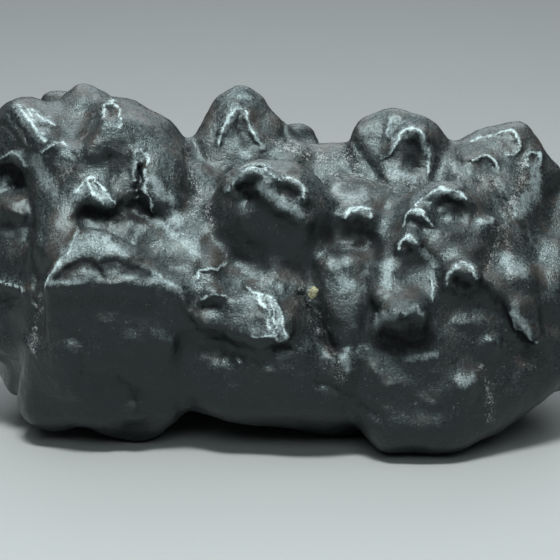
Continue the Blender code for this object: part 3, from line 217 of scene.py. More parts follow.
# The broad block at the lower left and the small lumps along its left edge.
LOW_LEFT: Group = {
    "block_band": (
        (-24.7, 5.8, 9.3, 0.85), (-21.6, 5.7, 9.8, 0.85), (-22, 3, 10.6, 0.85),
        (-27.1, 2.8, 9.5, 0.85), (-29, -0.6, 10.1, 0.85), (-26, -1.1, 10.9, 0.9),
        (-21, -0.8, 11.1, 0.9), (-16.5, -0.8, 11, 0.9), (-12.9, -2.1, 10.5, 0.85),
        (-11.5, -4.3, 9.9, 0.85), (-18.7, 4.1, 9.8, 0.85), (-17.4, 2.4, 10.1, 0.85),
        (-14.9, 0.2, 10.1, 0.85), (-22, -2, 2, 5),
    ),
    "block_crest": (
        (-21.2, 5.4, 9.2, 0.85), (-19.8, 3.3, 10.6, 0.85), (-17.5, 2.7, 10.2, 0.85),
        (-19.5, 4, 8.9, 0.85),
    ),
    "block_crest_low": (
        (-19.7, 2.8, 10.6, 0.85), (-17, 2.1, 10.2, 0.85), (-14.7, -0.1, 10.7, 0.85),
        (-12.6, -1.5, 10.7, 0.85), (-16, -2, 9.6, 1),
    ),
    "block_front": (
        (-28.6, -1.8, 9.6, 1), (-26, -2, 10.4, 1), (-16.5, -2, 10.5, 1), (-12.6, -3.6, 10, 1),
        (-28, -7.5, 7.6, 1.4), (-14, -8.5, 7.6, 2), (-21, -8.5, 8.2, 2), (-22, -6, 2, 5),
    ),
    "block_low_left": (
        (-28.9, -11, 3.4, 3.6), (-28.6, -14.6, 0, 4.4), (-23, -14.4, 3, 4.2), (-26, -8.5, 7, 3.2),
    ),
    "block_low_right": (
        (-17.2, -17.3, 0, 3), (-21.5, -16.4, 0.6, 3.4), (-14, -15, 2.6, 2.8), (-21, -13, 4, 3),
        (-20, -9.5, 6.9, 3), (-15, -10, 6.3, 3),
    ),
    "block_knob_left": (
        (-27.9, -5.9, 8.7, 0.9), (-26.7, -6.3, 8.8, 0.9), (-27, -8, 7.4, 1.2), (-26.5, -5, 7, 1.6),
    ),
    "block_bar": (
        (-22.1, -5.2, 10.2, 0.85), (-20.3, -5.1, 10.3, 0.85), (-21, -7.4, 9.2, 1.2), (-21, -6, 7, 2),
    ),
    "block_lump_a": (
        (-23.6, -9.3, 9.2, 0.9), (-22.2, -9.6, 9.2, 0.9), (-23, -11.4, 7.6, 1.2), (-23, -9, 6, 2),
    ),
    "block_lump_b": (
        (-18.9, -7.8, 9.9, 0.85), (-17.7, -8.1, 9.8, 0.85), (-18.4, -10, 8.6, 1.2), (-18, -8, 6, 2),
    ),
    "block_knob_right": (
        (-15.3, -7.5, 9.9, 0.9), (-13.8, -7.9, 9.6, 0.9), (-14.4, -10, 8.2, 1.3), (-14, -8, 7, 2),
    ),
    "block_lump_c": (
        (-27.2, -13, 5.6, 0.9), (-25.8, -13.2, 5.8, 0.9), (-26.4, -15, 4.2, 1.2), (-26, -13, 3, 2),
    ),
    "block_under_left": ((-26.6, -16.6, 1.8, 2), (-29.8, -15, -1.4, 2), (-25, -14, -5, 4)),
    "block_under_middle": ((-21.4, -17, 3, 1.8), (-19, -17.6, 0.5, 2), (-20, -14, -4, 4)),
    "left_column": (
        (-29.8, 9.3, 3, 0.9), (-27.2, 9.3, 5, 0.85), (-29.9, 4.4, 6.4, 0.85), (-28.2, 2.4, 8.2, 0.85),
        (-25.9, 5.5, 7.4, 0.85), (-28.5, 7, 6.4, 0.85), (-31, 0, 3, 1.5), (-28, 3, -2, 4),
    ),
    "edge_facet": (
        (-31.6, -1.6, 4.5, 0.85), (-30.6, -5.5, 5.5, 0.85), (-32.7, -3.6, 3.4, 0.9),
        (-30.3, -1.5, 6, 1), (-31, -5, 0, 3),
    ),
    "edge_speck": ((-31, -8.5, 5.4, 0.85), (-30, -8, 5, 1.5), (-31.5, -7, 1, 2)),
    "edge_ledge": (
        (-34.7, -0.9, 2.4, 0.85), (-33.5, -0.9, 3, 0.85), (-32.8, -0.7, 3.2, 0.85), (-36, -1, -1, 2),
        (-33, 1, -4, 3),
    ),
    "edge_low": ((-34, -5, 1.5, 1.2), (-36, -7, -2, 2), (-33.3, -8.5, 1, 1.4), (-32, -5, -3, 4)),
    "edge_b": (
        (-34.2, 5.5, 1.9, 0.85), (-32.5, 5.1, 2.4, 0.85), (-34.2, 1.8, 2.2, 0.85), (-32, 1.6, 3, 0.85),
        (-36, 3.5, -1, 2), (-33, 2.4, -1, 2.4),
    ),
    "edge_c": (
        (-34, 9.3, 1.4, 0.85), (-32.6, 9.3, 1.8, 0.85), (-33.9, 7.9, 1.9, 0.85),
        (-32.5, 7.7, 2.2, 0.85), (-35.5, 9, -1, 1.3), (-32.5, 7, -1, 2.5),
    ),
    "edge_d": (
        (-34.1, 15.4, 1, 0.85), (-33.2, 15.2, 1.4, 0.85), (-32.8, 14.8, 1.8, 0.85), (-35, 14.5, 0, 1),
        (-31.9, 14, 1.1, 0.85), (-33, 14, -3, 2.4),
    ),
    "left_end": (
        (-35, 17, -6, 3), (-38.4, 16, -6, 1.5), (-37.6, 12.4, -3, 1.5), (-36, 14, -1, 1.4),
        (-34, 10, -6, 5),
    ),
    "left_end_mid": (
        (-34, 4, -6, 6), (-40.2, 6.4, -6, 1.5), (-39.6, 2.2, -4.5, 1.6), (-37.6, 4.4, -0.6, 1.2),
        (-38, 8, -3, 1.2),
    ),
    "left_end_low": (
        (-33, -4, -5, 5), (-38.8, -2.8, -5.5, 1.6), (-37.6, -6.6, -3, 1.5), (-35.6, -8.6, -2.4, 1.7),
        (-36.8, -3, -0.4, 1.2),
    ),
    "left_end_foot": (
        (-29, -8, -7, 5), (-34, -10.5, -8, 2), (-32.6, -13, -4, 1.6), (-31, -9, -1, 2),
        (-33, -11, -13, 2),
    ),
}
# The shelf and the crystals below the overhanging lump.
LOW_MIDDLE: Group = {
    "shelf": (
        (-16, 6, 4.5, 1.2), (-13, 8.2, 3, 1.2), (-9.5, 8.8, 2.5, 1.2), (-15.5, 3, 7.5, 1.2),
        (-10, 3, 7.2, 1), (-12, 4, -2, 4),
    ),
    "pad": (
        (-9.9, 2, 8.1, 0.85), (-9, 1.5, 8.7, 0.85), (-7.9, 1.8, 8.2, 0.85), (-8.3, 2.9, 7.2, 0.85),
        (-9.8, 2.9, 7, 0.85), (-9, 2, 6, 1),
    ),
    "shelf_low": (
        (-13, -0.4, 8.4, 1.2), (-7, -0.6, 7.8, 1), (-3, -0.5, 7.6, 1), (0, -0.6, 7.2, 1),
        (-11, -4, 9, 1.2), (-6.5, -4, 8.8, 1.2), (-7, -1, 3, 4),
    ),
    "nib": (
        (-9.2, -2.1, 10.1, 0.85), (-8.1, -2, 9.8, 0.85), (-8.5, 0, 8.8, 0.85),
        (-10.8, -1.4, 9.1, 0.85), (-8.8, -3.2, 8.4, 0.85),
    ),
    "nib_low": (
        (-9.6, -5.1, 10.2, 0.85), (-8.3, -5.2, 10.2, 0.85), (-12, -3.5, 9.3, 1), (-9, -6, 7, 2),
    ),
    "front_facet": (
        (-3.8, -2, 9.8, 0.85), (-2.2, -2.4, 10.1, 0.85), (-0.8, -3.5, 10.6, 0.85),
        (-0.8, -5.1, 11, 0.85), (0.5, -7.1, 11.2, 0.85), (-2.2, -7.9, 11.4, 0.85), (-6, -6, 10.9, 0.9),
        (-6.6, -3.6, 10, 0.9), (-1, 0.2, 7.4, 1.2), (1.4, -2, 8.6, 1), (1.5, -8, 9, 1), (-3, -6, 3, 4),
    ),
    "front_strip": (
        (1.8, -0.6, 7.5, 0.85), (2.6, -4, 8.3, 0.85), (2.6, -9.6, 9.9, 0.85), (3.6, -9.3, 9.4, 0.85),
        (3, -11, 8, 1), (2, -6, 3, 2),
    ),
    "knob_low": ((7.4, -9.8, 9.9, 0.9), (8.8, -10.2, 9.6, 0.9), (8.3, -11.9, 9.3, 1), (8, -9, 5, 2.5)),
    "facet": (
        (5.9, 1.8, 7.6, 1), (9, 2.8, 7.4, 1), (5.6, -1.6, 8.2, 1), (9.6, -1.6, 8.4, 1),
        (6.8, -4.2, 8.5, 1), (9.6, -4.2, 8.8, 1), (7.4, 0.5, 2, 3),
    ),
    "facet_low": ((9.6, -4.4, 8.8, 0.9), (9.3, -7, 9.2, 0.95), (7.4, -6, 8.6, 0.9), (8, -5, 4, 2.5)),
}
# The boss at the lower right, its crystals and the right end.
LOW_RIGHT: Group = {
    "boss": (
        (17, 8.8, 3.4, 2.2), (24, 7.8, 2.6, 2.3), (13, 3, 5.2, 2), (22, 3, 5.6, 2), (27, 3, 4, 2),
        (13, -3.5, 7.8, 2), (17.5, -4, 8.4, 2), (25, -5, 5.6, 2.4), (14, -12, 6, 4), (20, -14, 5.2, 5),
        (26, -11, 3.4, 4), (11, -14, 5, 4), (20, 0, -2, 8),
    ),
    "boss_foot": (
        (14, -17.1, 5, 4.7), (20, -16.9, 5, 5), (25, -15.8, 3.6, 4), (29, -12.2, 2.4, 3.7),
        (34, -10, 1, 3.6), (18, -10, -2, 8),
    ),
    "boss_crown": (
        (16.2, 9.8, 4.6, 1), (19, 11.6, 4, 1.2), (22, 11.6, 4, 1.2), (24.6, 9.2, 4.4, 1),
        (20, 8, 1, 3),
    ),
    "boss_top": (
        (18.1, 9.8, 5.8, 0.85), (19.3, 10.5, 6.4, 0.85), (20.5, 11, 6.6, 0.85),
        (21.3, 10.5, 6.6, 0.85), (22.5, 10.2, 6.6, 0.85), (24.4, 9, 5.5, 0.85), (19.5, 7.9, 5.5, 0.85),
        (23.6, 7.4, 5.5, 0.85), (21, 9, 2, 2.5),
    ),
    "boss_tip_a": (
        (16.1, 7.8, 7.5, 0.85), (16.8, 8, 7.9, 0.85), (17.4, 7.8, 7.9, 0.85), (18, 7.4, 7.6, 0.85),
        (16.5, 6.4, 6.9, 0.85), (18.4, 6.2, 6.7, 0.85), (17.2, 7.2, 4.5, 1.2),
    ),
    "boss_tip_b": (
        (15.4, 4.8, 8.7, 0.85), (15.9, 5, 8.9, 0.85), (16.4, 4.5, 9, 0.85), (17, 4.2, 8.9, 0.85),
        (15.5, 3.2, 8.1, 0.85), (16.8, 3.2, 8.1, 0.85), (16, 4, 5.5, 1.2),
    ),
    "boss_middle": (
        (19.4, 5.4, 7.5, 0.85), (22, 6, 7.2, 0.85), (24.9, 5.9, 6.6, 0.85), (20.6, 2.7, 8.7, 0.85),
        (24.4, 2.9, 7.8, 0.85), (22, 4, 3.5, 2),
    ),
    "boss_left": (
        (12.9, 1.9, 8, 0.85), (14.3, 1.2, 8.6, 0.85), (13.1, -0.7, 9.4, 0.85), (15.5, -1.1, 9.6, 0.85),
        (12.6, 0, 6, 2),
    ),
    "boss_hook": (
        (21.5, 0.5, 10.5, 0.85), (21.9, 1.3, 10.5, 0.85), (22.7, 1.6, 10.4, 0.85),
        (23.4, 1.1, 10.2, 0.85), (24, 0.4, 10.1, 0.85), (21.6, -1.2, 9.5, 0.85),
        (23.8, -1.4, 9.1, 0.85), (22.6, 0, 6, 1.6),
    ),
    "boss_bump": ((25.9, 7.1, 6.5, 0.85), (26.7, 6.9, 6.2, 0.85), (26, 6, 4.5, 2)),
    "boss_nose": (
        (12.8, -4.3, 12, 0.85), (13.8, -4.1, 12.5, 0.85), (15.5, -4.6, 12.6, 0.85),
        (16.3, -4, 12.9, 0.85), (17.3, -4.1, 12.8, 0.85), (17.6, -4.8, 12.4, 0.85),
        (13, -6.6, 10.9, 0.85), (17, -6.8, 11.1, 0.85), (15.5, -5, 9.4, 2), (15.5, -1.6, 8.8, 1.2),
    ),
    "side_facet_a": (
        (28.7, 2.4, 6.2, 0.85), (30.9, 2.1, 5.3, 0.85), (29.1, 0.1, 7.2, 0.85),
        (31.4, -0.3, 6.4, 0.85), (29.5, 1, 1, 2),
    ),
    "side_facet_b": (
        (26.4, -0.4, 8.3, 0.85), (27.5, -0.5, 7.8, 0.85), (26.5, -1.6, 8.7, 0.85),
        (27.9, -2.2, 8.3, 0.85), (27, 0, 4, 2),
    ),
    "side_facet_c": (
        (29.5, -3, 7.9, 0.85), (31.3, -3.3, 6.6, 0.85), (32.1, -6.3, 7, 0.85), (29.2, -4.6, 8.7, 0.85),
        (31.4, -7.1, 7.8, 0.85), (30, -4, 1, 2.5),
    ),
    "side_lump_a": ((23, -5.6, 8, 1), (25, -5.7, 7.6, 1), (24, -7.4, 7.2, 1.2), (24, -6.5, 5, 2)),
    "side_lump_b": (
        (26.4, -8.1, 8.3, 0.85), (27, -8.1, 7.8, 0.85), (26.4, -9.2, 7.5, 0.85), (26, -8.5, 5.6, 1.5),
    ),
    "boss_bar": (
        (16.5, -9.6, 8.6, 1), (19.4, -9.7, 8.6, 1), (21.2, -9.4, 8, 1), (18.5, -11, 8.2, 1.2),
        (18.5, -9.5, 7, 1.5),
    ),
    "low_lump_a": ((22.8, -13, 9, 1.2), (24, -12.6, 8.4, 1.2), (23, -15, 8, 1.5), (22.4, -13, 6, 2.2)),
    "low_lump_b": ((30.3, -11.4, 5.8, 0.85), (31.9, -11.4, 5.2, 0.85), (31, -12, 3, 2)),
    "right_end": (
        (36, 3.2, -3, 3), (36.5, -4, -2, 3.5), (34, -10, -1, 4), (30, 0, -7, 6), (35, 8, -9, 4),
    ),
    "right_end_face": (
        (33.9, 5, 0.4, 1), (33.6, 0.6, 3.6, 1), (35.8, 1.5, 2, 1.2), (33, -3, 4, 1.5), (36, -5, 3, 2),
    ),
    "right_end_low": ((33, -7.5, 4, 1.5), (35.5, -9, 2, 2), (31, -9.5, 3.5, 1.8), (32, -6, 0, 3)),
}
GROUPS = (INSIDE, TOP_LEFT, TOP_MIDDLE, TOP_RIGHT, LOW_LEFT, LOW_MIDDLE, LOW_RIGHT)
# Rims, ribs, seams and hollows drawn on the front, in mm as it is seen: the height, how far it fades to
# the left of the path and to the right of it, and the path. A rim has its steep side on the right.
STROKES: dict[str, tuple[float, float, float, Path]] = {
    "slab_limb": (0.3, 0.5, 0.34, ((-32.9, 22), (-31.2, 19.8), (-29.5, 17.8))),
    "slab_limb_back": (0.25, 0.5, 0.34, ((-31, 21.4), (-29.6, 20.4), (-28.2, 19.5))),
    "slab_groove_a": (-0.24, 0.4, 0.4, ((-31.9, 21.3), (-30.6, 19.9), (-29.3, 18.8))),
    "slab_groove_b": (-0.21, 0.3, 0.3, ((-33.9, 20.8), (-32.4, 18.8), (-31.2, 17))),
    "slab_groove_c": (-0.18, 0.3, 0.3, ((-34.7, 19.6), (-33.3, 17.9), (-32.2, 16.4))),
    "slab_arc": (0.31, 0.9, 0.3, ((-29.9, 16), (-28.8, 17), (-27.2, 17.1), (-26.5, 16.3))),
    "slab_dimple": (-0.36, 0.9, 0.9, ((-28.9, 15.8), (-27.8, 15.9))),
    "edge_lip": (0.31, 0.8, 0.3, ((-34.6, 15.3), (-33.3, 16), (-32.3, 15.3), (-31.7, 14.2))),
    "edge_cavity": (-0.84, 1.2, 1.2, ((-34.2, 13.6), (-32.4, 13.2), (-32.6, 11.8))),
    "edge_seam": (-0.36, 0.5, 0.5, ((-31.4, 10), (-31.3, 5), (-30.4, 0), (-30.6, -3))),
    "edge_highlight": (0.25, 0.8, 0.8, ((-33.8, 8.7), (-32.6, 8.5))),
    "edge_step": (-0.3, 0.6, 0.6, ((-35, 6.6), (-33, 6.4), (-31.8, 6.6))),
    "edge_ledge": (0.31, 0.7, 0.3, ((-35.4, -0.6), (-33, -0.7), (-31.8, -1.3))),
    "edge_under": (-0.3, 0.8, 0.8, ((-35, -2.2), (-33.2, -2.3))),
    "edge_speck": (0.28, 0.7, 0.7, ((-31.4, -8.3), (-30.7, -8.6))),
    "lump_seam": (-0.3, 0.4, 0.45, (
        (-22.8, 21.8), (-23.5, 19.5), (-24.5, 18), (-25, 16), (-26.5, 13.8), (-28, 11.5), (-30, 9.8),
    )),
    "lump_ring": (0.28, 0.5, 0.26, (
        (-21.9, 20.2), (-22.3, 21.1), (-21.9, 22), (-21.2, 22.3), (-20.5, 21.9), (-20.1, 20.8),
        (-19.9, 19.8), (-20.3, 19.1),
    )),
    "lump_ring_hollow": (-0.36, 0.6, 0.6, ((-21.3, 21.3), (-21, 20.6))),
    "lump_brow": (0.1, 1.2, 0.8, ((-24, 16.4), (-23, 17), (-21.5, 17), (-19.6, 16.8))),
    "lump_below_brow": (0.16, 0.9, 1.1, ((-23.6, 15.9), (-21.6, 15.9), (-19.4, 15.6))),
    "lump_channel": (-0.3, 0.7, 0.7, ((-21.2, 15.4), (-20.9, 13.4), (-20.9, 11.8))),
    "lump_toe": (0.2, 0.8, 0.34, ((-25.8, 11), (-24.6, 12.4), (-23.3, 12.9), (-22, 11.4), (-20.6, 9.8))),
    "lump_toe_rib": (0.25, 0.4, 0.3, ((-24.2, 12), (-23.6, 10.8), (-22.6, 10.6), (-22.2, 9.6))),
    "lump_eye": (-0.3, 0.4, 0.4, ((-23, 11), (-22.7, 10.9))),
    "lump_pocket": (-0.48, 1.0, 1.3, ((-24.8, 8.6), (-22.5, 8), (-20.4, 7.9))),
    "lump_keyhole": (-0.9, 0.26, 0.26, ((-17.5, 14.2), (-17.5, 13), (-17.9, 10.4))),
    "lump_cave": (-0.72, 0.9, 1.1, ((-18.4, 9.2), (-17.2, 8.6), (-15.6, 8))),
    "lump_edge": (0.25, 0.5, 0.3, (
        (-18.1, 12.4), (-18, 14.6), (-18.3, 16), (-17.4, 16.1), (-16.5, 14.9), (-16.9, 13), (-17, 11),
        (-15.8, 8.6),
    )),
    "lump_side": (-0.2, 0.4, 0.5, ((-12.8, 16.5), (-11.9, 15.3), (-11.6, 13.9), (-11.3, 12.5))),
    "left_facets": (0.12, 0.9, 0.9, ((-27.8, 8.6), (-28, 6.8))),
    "left_facets_edge": (0.15, 0.4, 0.4, ((-25.2, 9), (-25.5, 6.4))),
    "peak_face": (0.34, 0.9, 0.34, (
        (-7.4, 17), (-7.1, 18.8), (-6.4, 20.3), (-5.3, 21.3), (-4.3, 20.6), (-3.4, 18.8), (-2.1, 16.4),
    )),
    "peak_hollow": (-0.35, 0.9, 0.9, ((-5.3, 19.8), (-5.1, 18.8))),
    "peak_arc": (0.15, 0.5, 0.4, (
        (-9, 19.6), (-8.3, 21), (-7, 22), (-5, 22.2), (-3.4, 21.3), (-2.4, 19.8),
    )),
    "peak_patch": (0.12, 0.5, 0.5, ((-5, 23.1), (-3.6, 22.7))),
    "peak_foot": (-0.24, 0.6, 0.6, ((-10.6, 17), (-9.4, 15.2), (-8.4, 13.4))),
    "peak_side": (-0.27, 0.4, 0.4, ((0.3, 19.9), (0.4, 18), (1.4, 16.6))),
    "saddle_crease": (-0.2, 0.4, 0.4, ((-0.5, 15.6), (1.5, 15.3), (3.2, 14.3), (5, 12.8), (6.2, 11.2))),
    "saddle_valley": (-0.25, 0.4, 0.4, ((6, 13.3), (7.2, 12.6), (8.6, 12.9), (11, 12.9), (13, 12.2))),
    "overhang_rim": (0.46, 1.0, 0.32, (
        (-6.3, 11.2), (-5.6, 12.5), (-4.2, 13.9), (-2.1, 14.3), (-1.2, 13.6), (-0.5, 12.8), (0.3, 12.4),
        (1.4, 12.7), (2.5, 12.3), (3.1, 11.1), (3.1, 10),
    )),
    "overhang_hollow_a": (-0.78, 0.9, 0.9, ((-4.9, 11.8), (-3.5, 11.9), (-3.9, 10))),
    "overhang_hollow_b": (-0.66, 0.7, 0.7, ((0.8, 11.3), (2.1, 10.6))),
    "overhang_spur": (0.4, 1.2, 0.9, ((-2.3, 11.7), (-1.2, 10.3), (0.4, 9.2), (1.8, 8.4), (3, 7.8))),
    "small_tip_rim": (0.31, 0.8, 0.3, ((8.1, 7.6), (8.8, 8.7), (10, 8.95), (11, 8.8), (11.4, 7.8))),
    "small_tip_hollow": (-0.48, 1.0, 1.0, ((9.8, 7), (11, 5.6))),
    "bowl_rim": (0.28, 0.5, 0.6, ((10.8, 10.4), (9.6, 9.5), (8.2, 9.1), (7.1, 9.7), (6.6, 11), (6.4, 12.2))),
    "bowl": (-0.36, 1.0, 1.0, ((8.2, 11.2), (9.6, 10.9))),
    "right_peak_face": (0.37, 0.8, 0.32, (
        (13, 15.3), (14, 16.3), (15, 17.5), (15.6, 18.4), (16.5, 18.9), (17.5, 18.7), (18.3, 17.8),
        (18.6, 16), (18.5, 13.3),
    )),
    "right_peak_hollow": (-0.6, 1.1, 1.1, ((16.5, 17.2), (17, 15.6), (16.8, 14.6))),
    "right_peak_glint": (0.25, 0.6, 0.5, ((13.1, 18), (13.4, 19.6), (14.4, 20.5), (15.5, 20.3))),
    "right_peak_dent": (-0.21, 0.6, 0.6, ((14.2, 18.2), (14.6, 17.6))),
    "right_peak_foot": (-0.24, 0.6, 0.6, ((9.6, 17.2), (10.6, 14.8), (12, 13.1), (14, 12))),
    "far_ring": (0.28, 0.5, 0.3, (
        (23.8, 17.2), (25, 17.9), (26.5, 18.2), (28, 18.4), (29, 18.6), (29.8, 17.9), (29.8, 16.7),
        (29.2, 16), (28.3, 15.8),
    )),
    "far_ring_hollow": (-0.24, 0.6, 0.6, ((28.2, 17.3), (28.9, 17.2))),
    "far_knob": (0.25, 0.5, 0.28, ((24, 14.9), (25, 15.5), (26.2, 15.5), (27, 14.8), (27.1, 13.8))),
    "far_knob_hollow": (-0.21, 0.8, 0.8, ((25, 14.3), (26.2, 14.2))),
    "far_facet": (0.19, 0.5, 0.3, ((31, 14.2), (31.1, 16), (32.4, 16.1), (32.6, 14.4))),
    "far_seam": (-0.3, 0.4, 0.4, (
        (26.6, 12.2), (27.4, 10.8), (28.4, 9.6), (28.9, 8), (30.5, 6.2), (31.5, 4.5),
    )),
    "far_foot": (-0.36, 0.6, 0.6, ((21.4, 16.6), (22, 14.8), (23, 13), (25, 12.2))),
    "boss_top_rim": (0.4, 0.9, 0.32, (
        (16.9, 9.4), (17.8, 10.4), (19, 11), (20.3, 11.7), (21, 11.1), (22.5, 10.9), (23.2, 10.2),
    )),
    "boss_top_hollow": (-0.72, 1.1, 1.1, ((20.4, 9.6), (22.2, 9.1), (22.6, 8.3))),
    "boss_tip_a_rim": (0.31, 0.6, 0.28, (
        (15.4, 6.8), (15.8, 8.2), (16.4, 8.9), (17.5, 8.7), (18.4, 7.8), (19, 6.9),
    )),
    "boss_tip_a_hollow": (-0.48, 0.7, 0.7, ((16.5, 7.4), (17.8, 6.6))),
    "boss_tip_b_rim": (0.28, 0.5, 0.28, ((14.9, 3.8), (15.1, 5), (15.7, 5.9), (16.4, 5.2), (17.5, 4.3))),
    "boss_tip_b_hollow": (-0.42, 0.6, 0.6, ((15.8, 4.2), (16.2, 3.4))),
    "boss_hook_rim": (0.4, 0.8, 0.3, (
        (20.8, -0.4), (21, 0.8), (21.7, 2), (22.8, 2.4), (23.8, 1.7), (24.6, 0.4),
    )),
    "boss_hook_hollow": (-0.72, 0.9, 0.9, ((21.8, 0), (23.4, -0.9))),
    "boss_bump_a": (0.25, 0.8, 0.8, ((25.8, 7.4), (26.8, 7.4))),
    "boss_bump_b": (0.19, 0.8, 0.8, ((26.2, 3.9), (26.9, 3.6))),
    "boss_rib": (0.14, 0.35, 0.35, ((19.1, -0.4), (19, -2.5))),
    "boss_nose_rim_a": (0.34, 0.7, 0.4, (
        (11.8, -6.2), (11.9, -4.9), (12.6, -4), (13.6, -3.8), (14.6, -4.3), (15.4, -4.5),
    )),
    "boss_nose_rim_b": (0.34, 0.7, 0.4, (
        (15.4, -4.5), (16, -3.8), (16.8, -3.2), (17.7, -3.4), (18.1, -4.3), (18, -5.6),
    )),
    "boss_nose_hollow": (-0.3, 0.8, 0.8, ((13.4, -5.1), (15.2, -5.3), (17.2, -4.9))),
    "boss_left": (0.19, 0.9, 0.9, ((13.2, 1.8), (13.6, 0.2), (14.2, -0.8))),
    "side_valley": (-0.45, 0.7, 0.7, (
        (25.3, 0.2), (26.2, -1.9), (27.6, -2.8), (28, -4.6), (29.4, -5.9), (31, -8.2),
    )),
    "side_edge": (0.25, 0.6, 0.34, ((28.9, -4.6), (29.6, -6), (31, -6.9), (32, -7.9))),
    "side_lump_a": (0.25, 0.9, 0.9, ((22.6, -5.6), (25.2, -6))),
    "side_lump_b": (0.28, 0.6, 0.6, ((26.3, -7.8), (27.3, -7.8))),
    "low_streak": (0.12, 0.7, 0.7, ((16.4, -9.6), (19.6, -9.4))),
    "low_lump_a": (0.3, 1.1, 1.1, ((23, -12.8), (23.8, -12.5))),
    "low_lump_b": (0.22, 1.0, 0.9, ((30.4, -11.6), (31.6, -11.6))),
    "low_ridge": (0.19, 0.5, 0.5, ((25.3, -11), (26, -14), (26, -17.3))),
    "block_edge": (0.19, 0.6, 0.35, ((-25.2, 6.6), (-26, 4.6), (-27.5, 2.3), (-29, 0.5), (-29.5, -1))),
    "block_crest": (0.22, 1.2, 0.6, (
        (-29.7, -1.3), (-28, -0.8), (-26, -1.1), (-23.5, -0.7), (-21, -0.4), (-18.5, -0.3), (-16, -0.5),
        (-14, -1.2), (-12.6, -2), (-11.5, -3.4), (-10.9, -4.8),
    )),
    "block_ridge": (0.25, 0.5, 0.5, (
        (-21.5, 6), (-20, 3.2), (-17, 2.5), (-14.5, 0), (-12.5, -1.5), (-11.3, -4), (-10, -5.3),
    )),
    "block_fold_a": (-0.3, 0.35, 0.9, ((-28.2, 0), (-26.8, 1.4), (-25, 2.3), (-23.4, 2), (-22.4, 1))),
    "block_fold_b": (-0.3, 0.35, 0.9, ((-21.8, 2.1), (-20.2, 2.2), (-18.6, 1.2), (-17, 0.6))),
    "block_lump_a": (0.3, 1.1, 1.1, ((-27.6, -5.9), (-26.9, -6.2))),
    "block_lump_b": (0.2, 1.1, 1.1, ((-22.2, -5.6), (-20.3, -5.5))),
    "block_lump_c": (0.27, 1.2, 1.2, ((-23.6, -9.6), (-22.6, -9.8))),
    "block_lump_d": (0.22, 1.1, 1.1, ((-18.8, -8), (-17.8, -8.2))),
    "block_lump_e": (0.32, 1.0, 1.0, ((-15, -7.8), (-14, -8))),
    "block_lump_f": (0.28, 1.3, 1.3, ((-27, -13.4), (-26, -13.6))),
    "pad_rim": (0.22, 0.6, 0.3, (
        (-10.4, 0.2), (-10.1, 1.1), (-9.3, 1.5), (-8, 1.2), (-7.2, 1.6), (-6.9, 2.1),
    )),
    "pad_under": (-0.24, 0.6, 0.6, ((-9.6, -0.4), (-8, -0.4))),
    "nib_rim": (0.31, 0.6, 0.28, ((-10, -2.6), (-9.3, -1.9), (-8, -1.8), (-6.9, -2.2))),
    "nib_hollow": (-0.48, 0.7, 0.7, ((-9.3, -3.4), (-7.9, -3.5))),
    "ledge_edge": (0.22, 0.6, 0.4, ((-12.5, -2.5), (-11, -4.7), (-10, -5.6), (-7, -6.3), (-5.2, -7.2))),
    "facet_rim": (0.25, 0.7, 0.34, ((-4.2, -1), (-3, -1.8), (-1, -2.4), (0, -3.5), (0.3, -5.5), (1, -7.6))),
    "facet_low_rim": (0.25, 0.8, 0.3, ((-3.6, -7), (-1.6, -7), (0.2, -7.6), (1.2, -7.3))),
    "facet_low_hollow": (-0.48, 0.7, 0.7, ((-0.6, -8.5), (0.9, -8.4))),
    "streak_a": (0.2, 0.4, 0.4, ((-7, -8.2), (-6.3, -8.9), (-5.2, -10.2))),
    "streak_b": (0.15, 0.4, 0.4, ((-5.9, -7.6), (-4.8, -8.8), (-3.9, -9.8))),
    "strip_ridge": (0.22, 0.5, 0.5, ((0.5, -0.5), (1.3, -4), (2.2, -8.5))),
    "crevice": (-0.54, 0.45, 0.45, ((2.8, -1.9), (4, -4), (5.5, -6.5), (6.8, -9.6))),
    "crevice_hole": (-0.78, 0.7, 0.7, ((5.9, -7.7), (7.3, -8.4))),
    "knob_low": (0.31, 0.8, 0.7, ((7.5, -9.7), (8.9, -10.4), (8.6, -12))),
    "strip_bit": (0.25, 0.6, 0.5, ((2.6, -8.6), (3.2, -10.4))),
    "low_middle_ridge": (0.19, 0.6, 0.6, ((10, -9), (12.5, -12))),
    "belly_lump_a": (0.26, 1.4, 1.1, ((-9.4, -10.6), (-7.4, -11.6), (-6, -13))),
    "belly_lump_b": (0.22, 1.3, 1.1, ((-1.4, -11.4), (0.8, -12.4), (1.8, -14))),
    "low_lump_d": (0.26, 1.2, 1.1, ((12.4, -12.6), (13.8, -13.4))),
    "low_lump_e": (0.24, 1.2, 1.2, ((17.6, -14.4), (19.4, -15))),
    "low_fold_a": (-0.3, 0.7, 0.7, ((4.6, -12.6), (8.4, -14.4), (12, -16.6))),
    "low_fold_b": (-0.3, 0.7, 0.7, ((-20.4, -12.4), (-18.2, -14), (-17.6, -16.4))),
    "block_fold_c": (-0.26, 0.7, 0.7, ((-25.4, -7.6), (-24.6, -10.4), (-25.2, -13))),
    "facet_rib_a": (0.2, 0.4, 0.3, ((-2.6, -2.4), (-1.8, -3.8), (-1.6, -5.6), (-0.8, -7))),
    "facet_rib_b": (0.16, 0.4, 0.3, ((-1.2, -3), (-1, -4.6), (-0.4, -6.2))),
    "slab_rib_a": (0.2, 0.35, 0.3, ((-32.2, 22), (-30.8, 20.4), (-29.9, 19.4))),
    "slab_rib_b": (0.2, 0.35, 0.3, ((-31.4, 20.6), (-30.2, 18.8), (-29.4, 18.6))),
}
